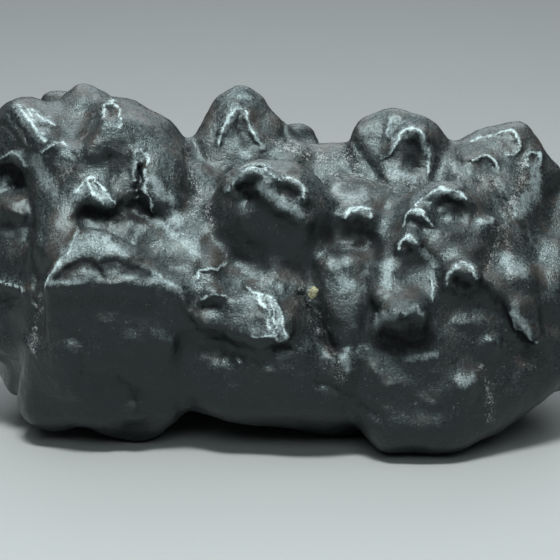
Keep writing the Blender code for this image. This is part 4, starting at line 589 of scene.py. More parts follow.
# Where the skin is worn bright and painted with highlights, in mm as it is seen: how far it spreads, and the
# path.
PATCHES: dict[str, tuple[float, Path]] = {
    "slab_limb": (1.2, ((-32.6, 21.4), (-31, 19.9), (-29.8, 18.4))),
    "slab_limb_back": (0.7, ((-31, 21), (-28.6, 19.9))),
    "slab_foot": (0.8, ((-33.2, 15.7), (-32.4, 15.5))),
    "lump_toe": (1.1, ((-25.6, 10.6), (-24.6, 11.8), (-23.4, 11.4), (-21.4, 9.9))),
    "lump_edge": (0.5, ((-18.2, 13), (-18.3, 15.6), (-17.5, 16.1), (-16.7, 15.4))),
    "peak": (0.6, ((-4.8, 23), (-3.6, 22.7))),
    "right_peak": (0.6, ((13.3, 18.6), (13.8, 19.9), (15.2, 20.3))),
    "right_peak_skirt": (0.8, ((14, 13.3), (16.8, 12.7))),
    "bowl": (1.2, ((7, 11.4), (8.4, 10.2), (10, 10.8))),
    "lump_lobe": (0.9, ((-16, 12.8), (-15, 10.8), (-13.6, 9.8))),
    "overhang_rim": (0.9, ((-5.7, 12.3), (-4.3, 13.7), (-2.1, 14.2), (-1.2, 13.3))),
    "overhang_rim_right": (0.6, ((0.6, 12.5), (2.4, 12.3), (3.1, 11.2))),
    "boss_top": (0.6, ((17.6, 10.2), (19, 10.9), (20.6, 11.4), (22.6, 10.6))),
    "boss_tips": (0.5, ((16.2, 8.6), (17.4, 8.4))),
    "boss_tip_low": (0.4, ((15.5, 5.4), (16.6, 4.7))),
    "boss_hook": (0.4, ((21.5, 1.6), (22.8, 2.1), (23.7, 1.4))),
    "small_tip": (0.4, ((9, 8.7), (10.9, 8.6))),
    "shelf": (0.9, ((-15.4, 7.4), (-12.6, 5.2), (-10.6, 3.4))),
    "overhang_spur": (1.0, ((-2.4, 11.6), (-0.6, 10.4), (0.8, 9.4), (2.4, 8.2))),
    "block_band": (1.2, ((-26.6, 3.6), (-24, 4.8), (-22, 4.6), (-19.6, 3.4))),
    "block_side": (0.6, ((-29.2, -0.6), (-28, 1.4), (-26.3, 3.4), (-25.3, 6.2))),
    "facet_rim": (0.6, ((-3.4, -1.8), (-1.2, -2.7), (-0.2, -4), (0.1, -6), (0.7, -7.4))),
    "facet": (1.2, ((6.4, 2), (8.6, -0.8))),
    "boss_left": (1.1, ((13.6, 2.2), (13.4, -0.6))),
    "boss_middle": (0.7, ((18, 3.6), (19.6, 1.6))),
    "boss_nose": (0.7, ((12.2, -5.8), (12.5, -4.3), (14.2, -4.4))),
    "boss_nose_right": (0.5, ((15.8, -4.2), (17, -3.4), (18, -4.2))),
    "side": (1.3, ((28.2, 2.8), (30, 1.2))),
    "side_low": (0.8, ((29.2, -4), (31, -6.6))),
    "far_foot": (0.8, ((22, 14.4), (23, 13.2))),
    "low": (0.9, ((22.9, -12.9), (23.8, -12.2))),
    "edge_middle": (1.1, ((-30.6, 14.8), (-29.4, 13), (-28.6, 11))),
    "peak_legs": (0.3, ((-7.1, 17.8), (-6.5, 19.8), (-5.3, 21), (-4.3, 20.3), (-2.8, 17.6))),
    "peak_foot": (0.8, ((-5.2, 16.6), (-4, 15.8))),
    "block_crest": (0.7, ((-19, 0.6), (-16.6, 0.4), (-14.4, -0.2), (-12.6, -1.4))),
    "block_crest_left": (0.5, ((-29, -0.6), (-27, -0.2), (-24.6, 0))),
    "far_side": (1.2, ((31.8, 14), (31.6, 11), (30, 8.4))),
    "low_streak": (0.6, ((16, -9.7), (19.4, -9.3))),
    "knob_low": (0.9, ((7.6, -9.6), (8.6, -11))),
    "right_peak_rim": (0.5, ((14.8, 17.6), (15.9, 18.7), (17.2, 18.9), (18.1, 17.8), (18.3, 15.8))),
    "notch": (0.8, ((-13.4, 8.4), (-12.4, 7))),
    "pad": (0.9, ((-4.4, 1), (-2.6, 0.6))),
    "facet_upper": (0.9, ((6.6, 2.8), (8.4, 2.2))),
    "boss_shoulder": (0.5, ((24.6, 7.6), (26.6, 7.4))),
}
# Painted shade: where the skin is painted dark and rough, in mm as it is seen: how dark, how far it spreads,
# and the path.
SHADES: dict[str, tuple[float, float, Path]] = {
    "small_tip": (1.0, 1.4, ((8.6, 6.4), (10.4, 6), (12, 5), (12.4, 3.2))),
    "facet_top": (0.9, 0.6, ((7.4, 4.4), (11.6, 4.3))),
    "facet_right": (0.8, 0.9, ((10.8, 2.2), (11, 0), (10.6, -3), (10.2, -6))),
    "peak_inside": (0.85, 1.0, ((-5.4, 19.6), (-5, 18), (-4.6, 17))),
    "far_face": (0.5, 1.6, ((28.4, 14), (27.6, 11.6))),
    "boss_crown": (0.75, 1.9, ((20.4, 6.2), (22.4, 5), (24, 3.4))),
    "lump_ring": (1.0, 0.6, ((-21.3, 21.6), (-21.1, 20.7))),
    "boss_middle": (0.6, 1.2, ((16.8, 0.4), (18.2, -1), (18.4, 2))),
    "overhang_right": (0.9, 1.2, ((6, 6), (6.4, 4), (7.4, 2.8))),
    "overhang_left": (0.6, 0.9, ((-8, 10.4), (-7.6, 8))),
    "ledge": (0.5, 1.3, ((-16.6, 4), (-14.2, 3))),
    "boss_nose": (1.0, 1.4, ((12.8, -6.2), (15.4, -7), (18, -6.2), (18.6, -7.6), (15.4, -8.4), (12.4, -7.8))),
    "boss_top": (0.9, 1.1, ((20.2, 9.5), (21.6, 8.8), (22.8, 8.4))),
    "lump_under": (0.9, 1.1, ((-24.6, 8.4), (-22, 8), (-19.6, 7.9), (-17, 7.6))),
    "block_band": (1.0, 0.9, (
        (-28, 0.6), (-26.6, 1.6), (-24.6, 2.2), (-22.6, 1.4), (-20.6, 1.8), (-18.4, 1), (-16.6, 0.4),
    )),
    "block_front": (0.5, 1.6, ((-28, -3), (-22, -2.6), (-16, -3.2))),
    "lump_channel": (0.8, 0.7, ((-21.4, 15.4), (-20.9, 13.6), (-20.8, 12))),
    "left_edge": (0.8, 1.3, ((-34.5, 7), (-33.4, 5.8))),
    "left_edge_low": (0.6, 1.2, ((-34.8, -2.4), (-33, -3.4))),
    "slab_foot": (0.4, 0.8, ((-28.6, 15.6), (-27.6, 15))),
    "valley": (0.7, 1.2, ((20.6, -0.8), (22.6, -2), (24.6, -1.6))),
    "side_valley": (0.6, 0.8, ((26, -2), (28, -5), (30.6, -8))),
    "facet_low": (0.8, 1.0, ((7.6, -5.4), (8.6, -6.6))),
    "crevice": (0.9, 0.8, ((5.8, -7.6), (7.4, -8.6))),
    "overhang_low": (1.0, 1.1, ((-5.6, 3), (-3, 2.2), (0.4, 1.9), (2.4, 1.3), (3.7, 0.1))),
    "facet_inside": (0.6, 0.8, ((-3.6, -3.6), (-2.2, -5.2))),
    "boss_middle_low": (0.35, 0.9, ((15.6, 1.6), (16.4, -1.6))),
    "block_right": (0.5, 1.1, ((-19.6, 4.2), (-18, 2.6), (-16.4, 1.4))),
    "boss_side": (0.4, 1.2, ((16, 11.2), (15, 9), (14.4, 6.4))),
}
# Where dust lies, in mm as it is seen: how far it spreads, and the path.
DUST: dict[str, tuple[float, Path]] = {
    "lump_seam": (0.5, ((-22.8, 21.8), (-23.5, 19.5), (-24.5, 18), (-25, 16), (-26.5, 13.8), (-28, 11.5))),
    "notch": (1.3, ((-11.8, 16.5), (-11, 13.4), (-10.2, 10.4), (-11.6, 7.6))),
    "overhang_edge": (0.5, ((-8.8, 11), (-8.9, 8), (-8.4, 5))),
    "saddle": (1.2, ((-0.5, 17), (1.6, 16.6), (6.4, 14.8), (8.6, 15.8), (9.6, 13.6))),
    "saddle_valley": (0.7, ((6, 13.3), (8, 12.7), (11, 12.8), (13.4, 11.6), (15, 10.4))),
    "bowl": (1.1, ((7.4, 11), (9.6, 10.6))),
    "far_foot": (1.1, ((21.6, 15.4), (22.2, 13.6), (23.6, 12.6), (26.4, 12.4))),
    "far_side": (0.9, ((30.4, 14.6), (29.6, 10.2), (28.4, 8.8))),
    "right_peak_skirt": (1.0, ((13.6, 12.8), (15.2, 12.6), (16.4, 12))),
    "crevice": (1.0, ((2.6, -1.2), (4, -4), (5.5, -6.5), (7, -10), (8, -12))),
    "low_ridge": (0.5, ((25.4, -11), (26.2, -14), (26, -17.4))),
    "side": (0.9, ((25.6, 1), (28, 7.6), (29, 1))),
    "block_side": (0.6, ((-29.8, -2), (-30.6, -6), (-30.6, -9))),
}


class Facing(Enum):
    """The three directions of the front view."""

    RIGHT = 0
    UP = 1
    OUT = 2


@dataclass(frozen=True)
class FrontView:
    """The view that the crystals are placed in, in mm, and the move that centres the stone."""

    tilt: float = math.radians(16)
    distance: float = 240
    width: float = 70
    centre: Vector = field(default_factory=lambda: Vector((0, 0, 19.6)))
    shift: Vector = field(default_factory=lambda: Vector((-0.161, -5.624, 0)))

    def way(self, facing: Facing) -> Vector:
        """Gives one direction of the view.

        Args:
            facing: which of the three.

        Returns:
            A unit vector in world axes.
        """
        if facing is Facing.RIGHT:
            return Vector((1, 0, 0))
        if facing is Facing.UP:
            return Vector((0, math.sin(self.tilt), math.cos(self.tilt)))
        return Vector((0, -math.cos(self.tilt), math.sin(self.tilt)))

    def home(self, shifted: bool) -> Vector:
        """Gives the view's centre in mm, moved with the stone or not."""
        return self.centre + self.shift if shifted else self.centre

    def eye(self, shifted: bool) -> Vector:
        """Gives the viewer's place in metres, moved with the stone or not."""
        return (self.home(shifted) + self.distance * self.way(Facing.OUT)) * MM

    def place(self, across: float, up: float, out: float) -> Vector:
        """Finds the point that the view shows at a place.

        Args:
            across: mm to the right of the view's centre.
            up: mm above it.
            out: mm toward the viewer.

        Returns:
            The point in mm, before the shift.
        """
        near = (self.distance - out) / self.distance
        flat = across * self.way(Facing.RIGHT) + up * self.way(Facing.UP)
        return self.centre + near * flat + out * self.way(Facing.OUT)

    def seen(self, points: np.ndarray, shifted: bool) -> np.ndarray:
        """Finds where the view shows points.

        Args:
            points: their places in metres, one row each.
            shifted: whether they have moved with the stone.

        Returns:
            Across, up and out in mm, one row each.
        """
        apart = points / MM - np.array(self.home(shifted))
        axes = np.array([self.way(facing) for facing in Facing])
        found = apart @ axes.T
        near = (self.distance - found[:, 2]) / self.distance
        found[:, :2] /= near[:, None]
        return found


@dataclass
class Crystal:
    """A blunt crystal: the hull of a few balls, in mm."""

    balls: list[Ball]

    def add_to(self, bm: bmesh.types.BMesh, rounds: int) -> None:
        """Adds the hull to a mesh.

        Args:
            bm: the mesh that collects the hulls, in metres.
            rounds: how finely the balls are divided.
        """
        own = bmesh.new()
        for point, radius in self.balls:
            at = Matrix.Scale(MM, 4) @ Matrix.Translation(point)
            bmesh.ops.create_icosphere(own, subdivisions=rounds, radius=radius, matrix=at)
        bmesh.ops.delete(own, geom=own.edges[:], context="EDGES_FACES")
        hull = bmesh.ops.convex_hull(own, input=own.verts[:], use_existing_faces=False)
        inner = hull["geom_interior"] + hull["geom_unused"]
        spare = {item for item in inner if isinstance(item, bmesh.types.BMVert)}
        bmesh.ops.delete(own, geom=list(spare), context="VERTS")
        bmesh.ops.recalc_face_normals(own, faces=own.faces[:])
        mesh = bpy.data.meshes.new("crystal")
        own.to_mesh(mesh)
        own.free()
        bm.from_mesh(mesh)
        bpy.data.meshes.remove(mesh)


@dataclass
class GuessedCrystals:
    """The crystals of the back, the ends and the underside, in mm, drawn in the same order as the solid's."""

    view: FrontView
    seed: int = 5

    # The back: an oval round the long axis, set with belts of crystals, each with a small one on either side.
    # A belt is its turn from straight back toward the top, in degrees, and its offset in steps.
    centre: Vector = field(default_factory=lambda: Vector((1, 5, 19)))
    depth: float = 17.5
    height: float = 15
    length: float = 44
    belts: tuple[Span, ...] = ((62, 0), (30, 0.5), (-2, 0), (-34, 0.5), (-66, 0), (-98, 0.5), (-128, 0))
    step: float = 11
    steps: int = 3
    reach: float = 35
    shift: float = 1.8
    turn: float = 7
    sunk: float = 0.75
    splay: float = 0.75
    size: Span = (6.6, 8.6)
    side_size: Span = (3, 4.4)
    side_shift: Span = (3, 6)
    side_turn: Span = (0.17, 0.35)
    side_sunk: float = 0.5
    hidden_up: float = 15
    hidden_out: float = -5

    # Both ends: which way each faces and where it starts, and the places on it, back and height.
    end_reach: tuple[Span, ...] = ((-1, -31.5), (1, 30.5))
    end_spots: tuple[Span, ...] = ((9, 29), (15, 23), (13, 12), (18, 17))
    end_centre: Span = (4, 18)
    end_splay: float = 16
    end_way: float = 1.3
    end_size: Span = (5.6, 7)

    # The underside: rows, each back and height, with an arch between two places, and the broad feet.
    under_rows: tuple[Span, ...] = ((-5, 11), (2, 9.5), (8, 9.5))
    under_reach: float = 27
    under_step: float = 9
    under_shift: float = 1.5
    under_lean: tuple[Span, Span] = ((-0.25, 0.25), (-0.3, 0.1))
    under_size: Span = (6.6, 8)
    arch: Span = (-13, 8)
    arch_rise: float = 2.6
    feet: tuple[Triple, ...] = ((-25, 13, 6), (-5, 17, 5.5), (20, 14, 6.5))
    foot_sunk: float = 0.7
    foot_top: Triple = (-2, -4, 7)
    foot_spread: float = 1.3

    # One crystal, in shares of its size.
    root_radius: float = 0.66
    corners: tuple[int, ...] = (3, 4, 4, 5)
    corner_turn: float = 0.3
    corner_lean: Span = (0.28, 0.5)
    corner_reach: Span = (0.72, 0.92)
    corner_radius: Span = (0.2, 0.3)

    def build(self) -> list[Crystal]:
        """Makes them all, feet last."""
        rng = random.Random(self.seed)
        return self.back(rng) + self.ends(rng) + self.under(rng) + self.stands()

    def one(self, rng: random.Random, at: Vector, way: Vector, size: float) -> Crystal:
        """Makes one with three to five corners.

        Args:
            rng: the random draws.
            at: where it grows from.
            way: its direction.
            size: its length in mm.

        Returns:
            The crystal.
        """
        side = way.cross(Vector((rng.uniform(-1, 1), rng.uniform(-1, 1), rng.uniform(-1, 1)))).normalized()
        other = way.cross(side)
        balls = [(at, self.root_radius * size)]
        corners = rng.choice(self.corners)
        turn = rng.uniform(0, math.tau)
        for corner in range(corners):
            angle = turn + math.tau * corner / corners + rng.uniform(-self.corner_turn, self.corner_turn)
            lean = rng.uniform(*self.corner_lean) * (math.cos(angle) * side + math.sin(angle) * other)
            reach = rng.uniform(*self.corner_reach) * size
            balls.append((at + reach * (way + lean), rng.uniform(*self.corner_radius) * size))
        return Crystal(balls)

    def spot(self, across: float, angle: float, size: float, sunk: float) -> tuple[Vector, Vector]:
        """Finds where a crystal of the back starts, and its direction.

        Args:
            across: mm along the stone.
            angle: its turn about the long axis, from straight back toward the top.
            size: its length in mm.
            sunk: how much of its size is below the oval.

        Returns:
            The start and the unit direction.
        """
        taper = math.sqrt(1 - (across / self.length) ** 2)
        depth = (self.depth * taper - sunk * size) * math.cos(angle)
        height = (self.height * taper - sunk * size) * math.sin(angle)
        way = Vector((self.splay * across / self.length, math.cos(angle), math.sin(angle))).normalized()
        return Vector((across, self.centre.y + depth, self.centre.z + height)), way

    def hides(self, at: Vector, way: Vector, size: float) -> bool:
        """Tells whether one stays behind what the front view shows.

        Args:
            at: where it grows from.
            way: its direction.
            size: its length in mm.

        Returns:
            Whether it is hidden.
        """
        tip = at + size * way - self.view.centre
        low = tip.dot(self.view.way(Facing.UP)) < self.hidden_up
        return low and tip.dot(self.view.way(Facing.OUT)) < self.hidden_out

    def back(self, rng: random.Random) -> list[Crystal]:
        """Makes the belts of crystals along the back.

        Args:
            rng: the random draws.

        Returns:
            The crystals.
        """
        made = []
        for degrees, offset in self.belts:
            for step in range(-self.steps, self.steps + 1):
                across = self.centre.x + self.step * (step + offset) + rng.uniform(-self.shift, self.shift)
                angle = math.radians(degrees + rng.uniform(-self.turn, self.turn))
                size = rng.uniform(*self.size)
                if abs(across) > self.reach:
                    continue
                at, way = self.spot(across, angle, size, self.sunk)
                if self.hides(at, way, size):
                    made.append(self.one(rng, at, way, size))
                for side in (-1, 1):
                    small = rng.uniform(*self.side_size)
                    beside = across + side * rng.uniform(*self.side_shift)
                    turned = angle + side * rng.uniform(*self.side_turn)
                    at, way = self.spot(beside, turned, small, self.side_sunk)
                    if self.hides(at, way, small):
                        made.append(self.one(rng, at, way, small))
        return made

    def ends(self, rng: random.Random) -> list[Crystal]:
        """Makes the crystals of both ends.

        Args:
            rng: the random draws.

        Returns:
            The crystals.
        """
        made = []
        for side, across in self.end_reach:
            for back, height in self.end_spots:
                slopes = np.subtract((back, height), self.end_centre) / self.end_splay
                way = Vector((self.end_way * side, *slopes)).normalized()
                made.append(self.one(rng, Vector((across, back, height)), way, rng.uniform(*self.end_size)))
        return made

    def under(self, rng: random.Random) -> list[Crystal]:
        """Makes the crystals of the underside.

        Args:
            rng: the random draws.

        Returns:
            The crystals.
        """
        made = []
        for row, (back, height) in enumerate(self.under_rows):
            across = -self.under_reach + self.under_step * 0.5 * (row % 2)
            while across <= self.under_reach:
                rise = self.arch_rise if self.arch[0] < across < self.arch[1] else 0
                shift = rng.uniform(-self.under_shift, self.under_shift)
                at = Vector((across + shift, back, height + rise))
                way = Vector((*(rng.uniform(*lean) for lean in self.under_lean), -1)).normalized()
                made.append(self.one(rng, at, way, rng.uniform(*self.under_size)))
                across += self.under_step
        return made

    def stands(self) -> list[Crystal]:
        """Makes the broad crystals that the stone rests on.

        Returns:
            The crystals.
        """
        made = []
        for across, back, radius in self.feet:
            foot = Vector((across, back, radius - self.foot_sunk))
            top = foot + Vector(self.foot_top)
            made.append(Crystal([(foot, radius), (top, self.foot_spread * radius)]))
        return made


@dataclass(frozen=True)
class Stroke:
    """One drawn rise or hollow, or a line of dust, in mm as it is seen."""

    height: float
    left: float
    right: float
    path: Path

    def weigh(self, seen: np.ndarray) -> np.ndarray:
        """Tells how strongly the stroke acts.

        Args:
            seen: across and up of each point.

        Returns:
            A weight from 0 to 1 for each.
        """
        nearest = np.full(len(seen), np.inf)
        side = np.ones(len(seen))
        for start, end in zip(self.path, self.path[1:]):
            step = np.subtract(end, start)
            apart = seen[:, :2] - start
            along = np.clip(apart @ step / (step @ step), 0, 1)
            gap = np.hypot(*(apart - along[:, None] * step).T)
            turn = step[0] * apart[:, 1] - step[1] * apart[:, 0]
            side = np.where(gap < nearest, turn, side)
            nearest = np.minimum(gap, nearest)
        fade = np.where(side > 0, self.left, self.right)
        return np.exp(-((nearest / fade) ** 2))


def read_points(mesh: bpy.types.Mesh) -> tuple[np.ndarray, np.ndarray]:
    """Reads a mesh's points and their normals.

    Args:
        mesh: the mesh.

    Returns:
        Two arrays with one row for each point.
    """
    points = np.empty(len(mesh.vertices) * 3, np.float32)
    normals = np.empty(len(mesh.vertices) * 3, np.float32)
    mesh.vertices.foreach_get("co", points)
    mesh.vertices.foreach_get("normal", normals)
    return points.reshape(-1, 3).astype(float), normals.reshape(-1, 3).astype(float)


def ray_tree(mesh: bpy.types.Mesh) -> BVHTree:
    """Gives the tree of a mesh's faces, for rays to be cast at it."""
    points = [vertex.co for vertex in mesh.vertices]
    return BVHTree.FromPolygons(points, [tuple(face.vertices) for face in mesh.polygons])


def store(mesh: bpy.types.Mesh, name: str, values: np.ndarray) -> None:
    """Stores one value for each point as an attribute."""
    attribute = mesh.attributes.new(name, "FLOAT", "POINT")
    attribute.data.foreach_set("value", values.astype(np.float32))


def make_object(bm: bmesh.types.BMesh, name: str) -> bpy.types.Object:
    """Turns a bmesh into an object of the scene.

    Args:
        bm: the bmesh, which is freed.
        name: the object's name.

    Returns:
        The object.
    """
    mesh = bpy.data.meshes.new(name)
    bm.to_mesh(mesh)
    bm.free()
    obj = bpy.data.objects.new(name, mesh)
    bpy.context.scene.collection.objects.link(obj)
    return obj


@dataclass
class Chisel:
    """Carves and paints the strokes on what the front view shows of a skin. Lengths are in mm."""

    view: FrontView

    # How far drawn lines are shaken out of true, and the spread of the shake.
    wobble: float = 0.45
    wobble_spread: float = 2.4
    shiver: float = 0.26
    shiver_spread: float = 0.9

    # How the height changes along a rise, in shares of it, and along everything.
    swing: Span = (0.75, 1.2)
    swing_range: Span = (0.25, 1.3)
    swing_spread: float = 2.2
    grain: float = 0.5
    grain_spread: float = 1.1

    # The weight of points that count as on a path, and how far in depth from them a stroke acts.
    on_path: float = 0.6
    depth_reach: float = 4.16
    depth_power: int = 4

    # What counts as shown: how far it may face away, and how far from the skin a ray starts.
    facing_away: float = -0.1
    clear: float = 0.4

    # Rims thinner than this get a painted highlight: a fine line, and a glow of a share of the rim's own
    # width.
    thin: float = 0.36
    line: float = 0.27
    line_right: float = 0.189
    glow: float = 0.45
    halo: float = 0.7

    # The height that is painted in full, and the least share that any other gets.
    full: float = 0.5
    least: float = 0.45

    def shown(self, mesh: bpy.types.Mesh, normals: np.ndarray, shifted: bool) -> np.ndarray:
        """Finds the points that the view shows.

        Args:
            mesh: the skin's mesh.
            normals: the normals of its points.
            shifted: whether the skin has moved with the stone.

        Returns:
            The places of those points in the list.
        """
        eye = self.view.eye(shifted)
        turned = np.nonzero(normals @ np.array(self.view.way(Facing.OUT)) > self.facing_away)[0]
        tree = ray_tree(mesh)
        found = []
        for index in turned:
            point = mesh.vertices[index].co
            way = (eye - point).normalized()
            if tree.ray_cast(point + way * (self.clear * MM), way)[0] is None:
                found.append(index)
        return np.array(found)

    def wobbled(self, points: np.ndarray, seen: np.ndarray) -> np.ndarray:
        """Shakes the drawn lines a little, so that none runs straight.

        Args:
            points: places in metres, before the shift, one row each.
            seen: where the view shows them.

        Returns:
            The shaken places in the view.
        """
        moved = seen.copy()
        for row, point in zip(moved, points):
            shake = self.wobble * noise.noise_vector(Vector(point) / (self.wobble_spread * MM))
            shake += self.shiver * noise.noise_vector(Vector(point) / (self.shiver_spread * MM))
            row[0] += shake.x
            row[1] += shake.y
        return moved

    def weights(self, seen: np.ndarray, strokes: Sequence[Stroke]) -> list[np.ndarray]:
        """Weighs strokes, each only near the depth that its path lies at.

        Args:
            seen: across, up and out of each point.
            strokes: the strokes.

        Returns:
            One row of weights for each stroke.
        """
        made = []
        for stroke in strokes:
            weight = stroke.weigh(seen)
            own = seen[weight > self.on_path, 2]
            if len(own):
                apart = (seen[:, 2] - np.median(own)) / self.depth_reach
                weight = weight * np.exp(-(apart**self.depth_power))
            made.append(weight)
        return made

    def noises(self, points: np.ndarray, spread: float) -> np.ndarray:
        """Gives one noise value for each point; spread is in mm."""
        return np.array([noise.noise(Vector(point) / (spread * MM)) for point in points])

    def carve(self, mesh: bpy.types.Mesh) -> None:
        """Moves the points of the skin by the strokes.

        Args:
            mesh: the skin's mesh, before the shift.
        """
        points, normals = read_points(mesh)
        shown = self.shown(mesh, normals, False)
        seen = self.wobbled(points[shown], self.view.seen(points[shown], False))
        strokes = [Stroke(*row) for row in STROKES.values()]
        middle, share = self.swing
        swing = np.clip(middle + share * self.noises(points[shown], self.swing_spread), *self.swing_range)
        total = np.zeros(len(shown))
        for stroke, weight in zip(strokes, self.weights(seen, strokes)):
            total += stroke.height * weight * (swing if stroke.height > 0 else 1)
        total *= 1 + self.grain * self.noises(points[shown], self.grain_spread)
        way = normals[shown] + np.array(self.view.way(Facing.OUT))
        way /= np.linalg.norm(way, axis=1)[:, None]
        points[shown] += way * (total * MM)[:, None]
        mesh.vertices.foreach_set("co", points.astype(np.float32).ravel())
        mesh.update()

    def paint(self, mesh: bpy.types.Mesh) -> None:
        """Stores where rims, worn patches, painted shade and dust lie, as attributes from 0 to 1; rims and
        patches carry painted highlights.

        Args:
            mesh: the finished skin's mesh, after the shift.
        """
        points, normals = read_points(mesh)
        shown = self.shown(mesh, normals, True)
        home = points[shown] - np.array(self.view.shift) * MM
        seen = self.wobbled(home, self.view.seen(points[shown], True))
        strokes = [Stroke(*row) for row in STROKES.values()]
        rims = [stroke for stroke in strokes if stroke.height > 0 and stroke.right < self.thin]
        layers = {
            # Painted highlight: a fine bright line along each thin rim.
            "rim": [Stroke(1, self.line, self.line_right, rim.path) for rim in rims],
            # Painted highlights, partly wear: the worn patches, and a glow round each thin rim.
            "wear_and_highlight": [Stroke(1, fade, fade, path) for fade, path in PATCHES.values()]
            + [Stroke(self.glow * rim.left, self.halo * rim.left, self.line, rim.path) for rim in rims],
            # Painted shade: carved hollows and the places of SHADES are stored as dark.
            "painted_shade": [stroke for stroke in strokes if stroke.height < 0]
            + [Stroke(dark * self.full, fade, fade, path) for dark, fade, path in SHADES.values()],
            "dust": [Stroke(1, fade, fade, path) for fade, path in DUST.values()],
        }
        for name, chosen in layers.items():
            shares = [np.clip(abs(stroke.height) / self.full, self.least, 1) for stroke in chosen]
            rows = [share * weight for share, weight in zip(shares, self.weights(seen, chosen))]
            value = np.zeros(len(points))
            value[shown] = np.clip(np.max(rows, axis=0), 0, 1)
            store(mesh, name, value)
        store(mesh, "upward", normals[:, 2])


@dataclass
class Skin:
    """One closed skin over all the crystals, worn and pitted. Lengths are in mm."""

    view: FrontView
    ball_rounds: int = 2
    voxel: float = 0.45
    fine_voxel: float = 0.27
    fillet: float = 0.7
    rounding: float = 0.45
    wear_share: float = 0.5
    wear_rounds: int = 3
    fine_wear_rounds: int = 2
    sway: float = 0.55
    sway_spread: float = 4.5
    sway_seed: int = 12
    relief: float = 0.12
    relief_spread: float = 3.2
    relief_octaves: int = 2
    ripple: float = 0.05
    ripple_spread: float = 1.1
    ripple_octaves: int = 3
    fade: float = 1
    finer: float = 2
    triangles: int = 190000

    def build(self, crystals: Sequence[Crystal], name: str) -> bpy.types.Object:
        """Makes the finished skin.

        Args:
            crystals: what it grows over.
            name: the piece's name.

        Returns:
            The piece, linked to the scene.
        """
        bm = bmesh.new()
        for crystal in crystals:
            crystal.add_to(bm, self.ball_rounds)
        obj = make_object(bm, name)
        self.fuse(obj)
        chisel = Chisel(self.view)
        chisel.carve(obj.data)
        self.weather(obj.data)
        self.thin_out(obj)
        self.rub_flat(obj.data)
        obj.data.transform(Matrix.Translation(self.view.shift * MM))
        obj.data.shade_smooth()
        chisel.paint(obj.data)
        return obj

    def remesh(self, obj: bpy.types.Object, voxel: float) -> None:
        """Adds a step that fuses what overlaps."""
        self.add_step(obj, "REMESH", mode="VOXEL", voxel_size=voxel * MM)

    def swell(self, obj: bpy.types.Object, by: float) -> None:
        """Adds a step that moves the skin out by some mm."""
        self.add_step(obj, "DISPLACE", mid_level=0, strength=by * MM)

    def wear(self, obj: bpy.types.Object, rounds: int) -> None:
        """Adds a step that smooths the skin."""
        self.add_step(obj, "SMOOTH", factor=self.wear_share, iterations=rounds)

    def add_step(self, obj: bpy.types.Object, kind: str, **settings: Any) -> None:
        """Adds a modifier.

        Args:
            obj: the skin.
            kind: the modifier's type.
            settings: what is set on it.
        """
        step = obj.modifiers.new(kind, kind)
        for name, value in settings.items():
            setattr(step, name, value)

    def settle(self, obj: bpy.types.Object) -> None:
        """Makes the steps part of the mesh.

        Args:
            obj: the skin.
        """
        graph = bpy.context.evaluated_depsgraph_get()
        old = obj.data
        mesh = bpy.data.meshes.new_from_object(obj.evaluated_get(graph))
        obj.modifiers.clear()
        obj.data = mesh
        bpy.data.meshes.remove(old)
        mesh.name = obj.name

    def fuse(self, obj: bpy.types.Object) -> None:
        """Fuses the hulls, then rounds the creases between them and their edges.

        Args:
            obj: the skin.
        """
        self.remesh(obj, self.voxel)
        self.settle(obj)
        self.bend(obj.data)
        for by in (self.fillet, -self.fillet - self.rounding, self.rounding):
            self.swell(obj, by)
            self.remesh(obj, self.voxel)
            self.wear(obj, 1)
        self.wear(obj, self.wear_rounds)
        self.remesh(obj, self.fine_voxel)
        self.wear(obj, self.fine_wear_rounds)
        self.settle(obj)

    def bend(self, mesh: bpy.types.Mesh) -> None:
        """Shifts the skin a little to and fro, so that no edge runs straight.

        Args:
            mesh: the skin's mesh.
        """
        noise.seed_set(self.sway_seed)
        for vertex in mesh.vertices:
            vertex.co += self.sway * MM * noise.noise_vector(vertex.co / (self.sway_spread * MM))

    def weather(self, mesh: bpy.types.Mesh) -> None:
        """Adds uneven relief in two sizes along the skin's normals.

        Args:
            mesh: the skin's mesh.
        """
        sizes = (
            (self.relief, self.relief_spread, self.relief_octaves),
            (self.ripple, self.ripple_spread, self.ripple_octaves),
        )
        normals = [vertex.normal.copy() for vertex in mesh.vertices]
        for vertex, normal in zip(mesh.vertices, normals):
            height = sum(
                rise * noise.fractal(vertex.co / (spread * MM), self.fade, self.finer, octaves)
                for rise, spread, octaves in sizes
            )
            vertex.co += normal * (MM * height)

    def thin_out(self, obj: bpy.types.Object) -> None:
        """Keeps the piece under its number of triangles.

        Args:
            obj: the skin.
        """
        obj.data.calc_loop_triangles()
        count = len(obj.data.loop_triangles)
        if count > self.triangles:
            self.add_step(obj, "DECIMATE", ratio=self.triangles / count)
            self.settle(obj)

    def rub_flat(self, mesh: bpy.types.Mesh) -> None:
        """Cuts the lowest crystals level where the stone rests.

        Args:
            mesh: the skin's mesh.
        """
        bm = bmesh.new()
        bm.from_mesh(mesh)
        whole = bm.verts[:] + bm.edges[:] + bm.faces[:]
        down = {"plane_co": (0, 0, 0), "plane_no": (0, 0, -1)}
        cut = bmesh.ops.bisect_plane(bm, geom=whole, clear_outer=True, **down)
        rims = [item for item in cut["geom_cut"] if isinstance(item, bmesh.types.BMEdge)]
        bmesh.ops.edgenet_fill(bm, edges=rims)
        bmesh.ops.triangulate(bm, faces=bm.faces[:])
        bmesh.ops.recalc_face_normals(bm, faces=bm.faces[:])
        bm.to_mesh(mesh)
        bm.free()


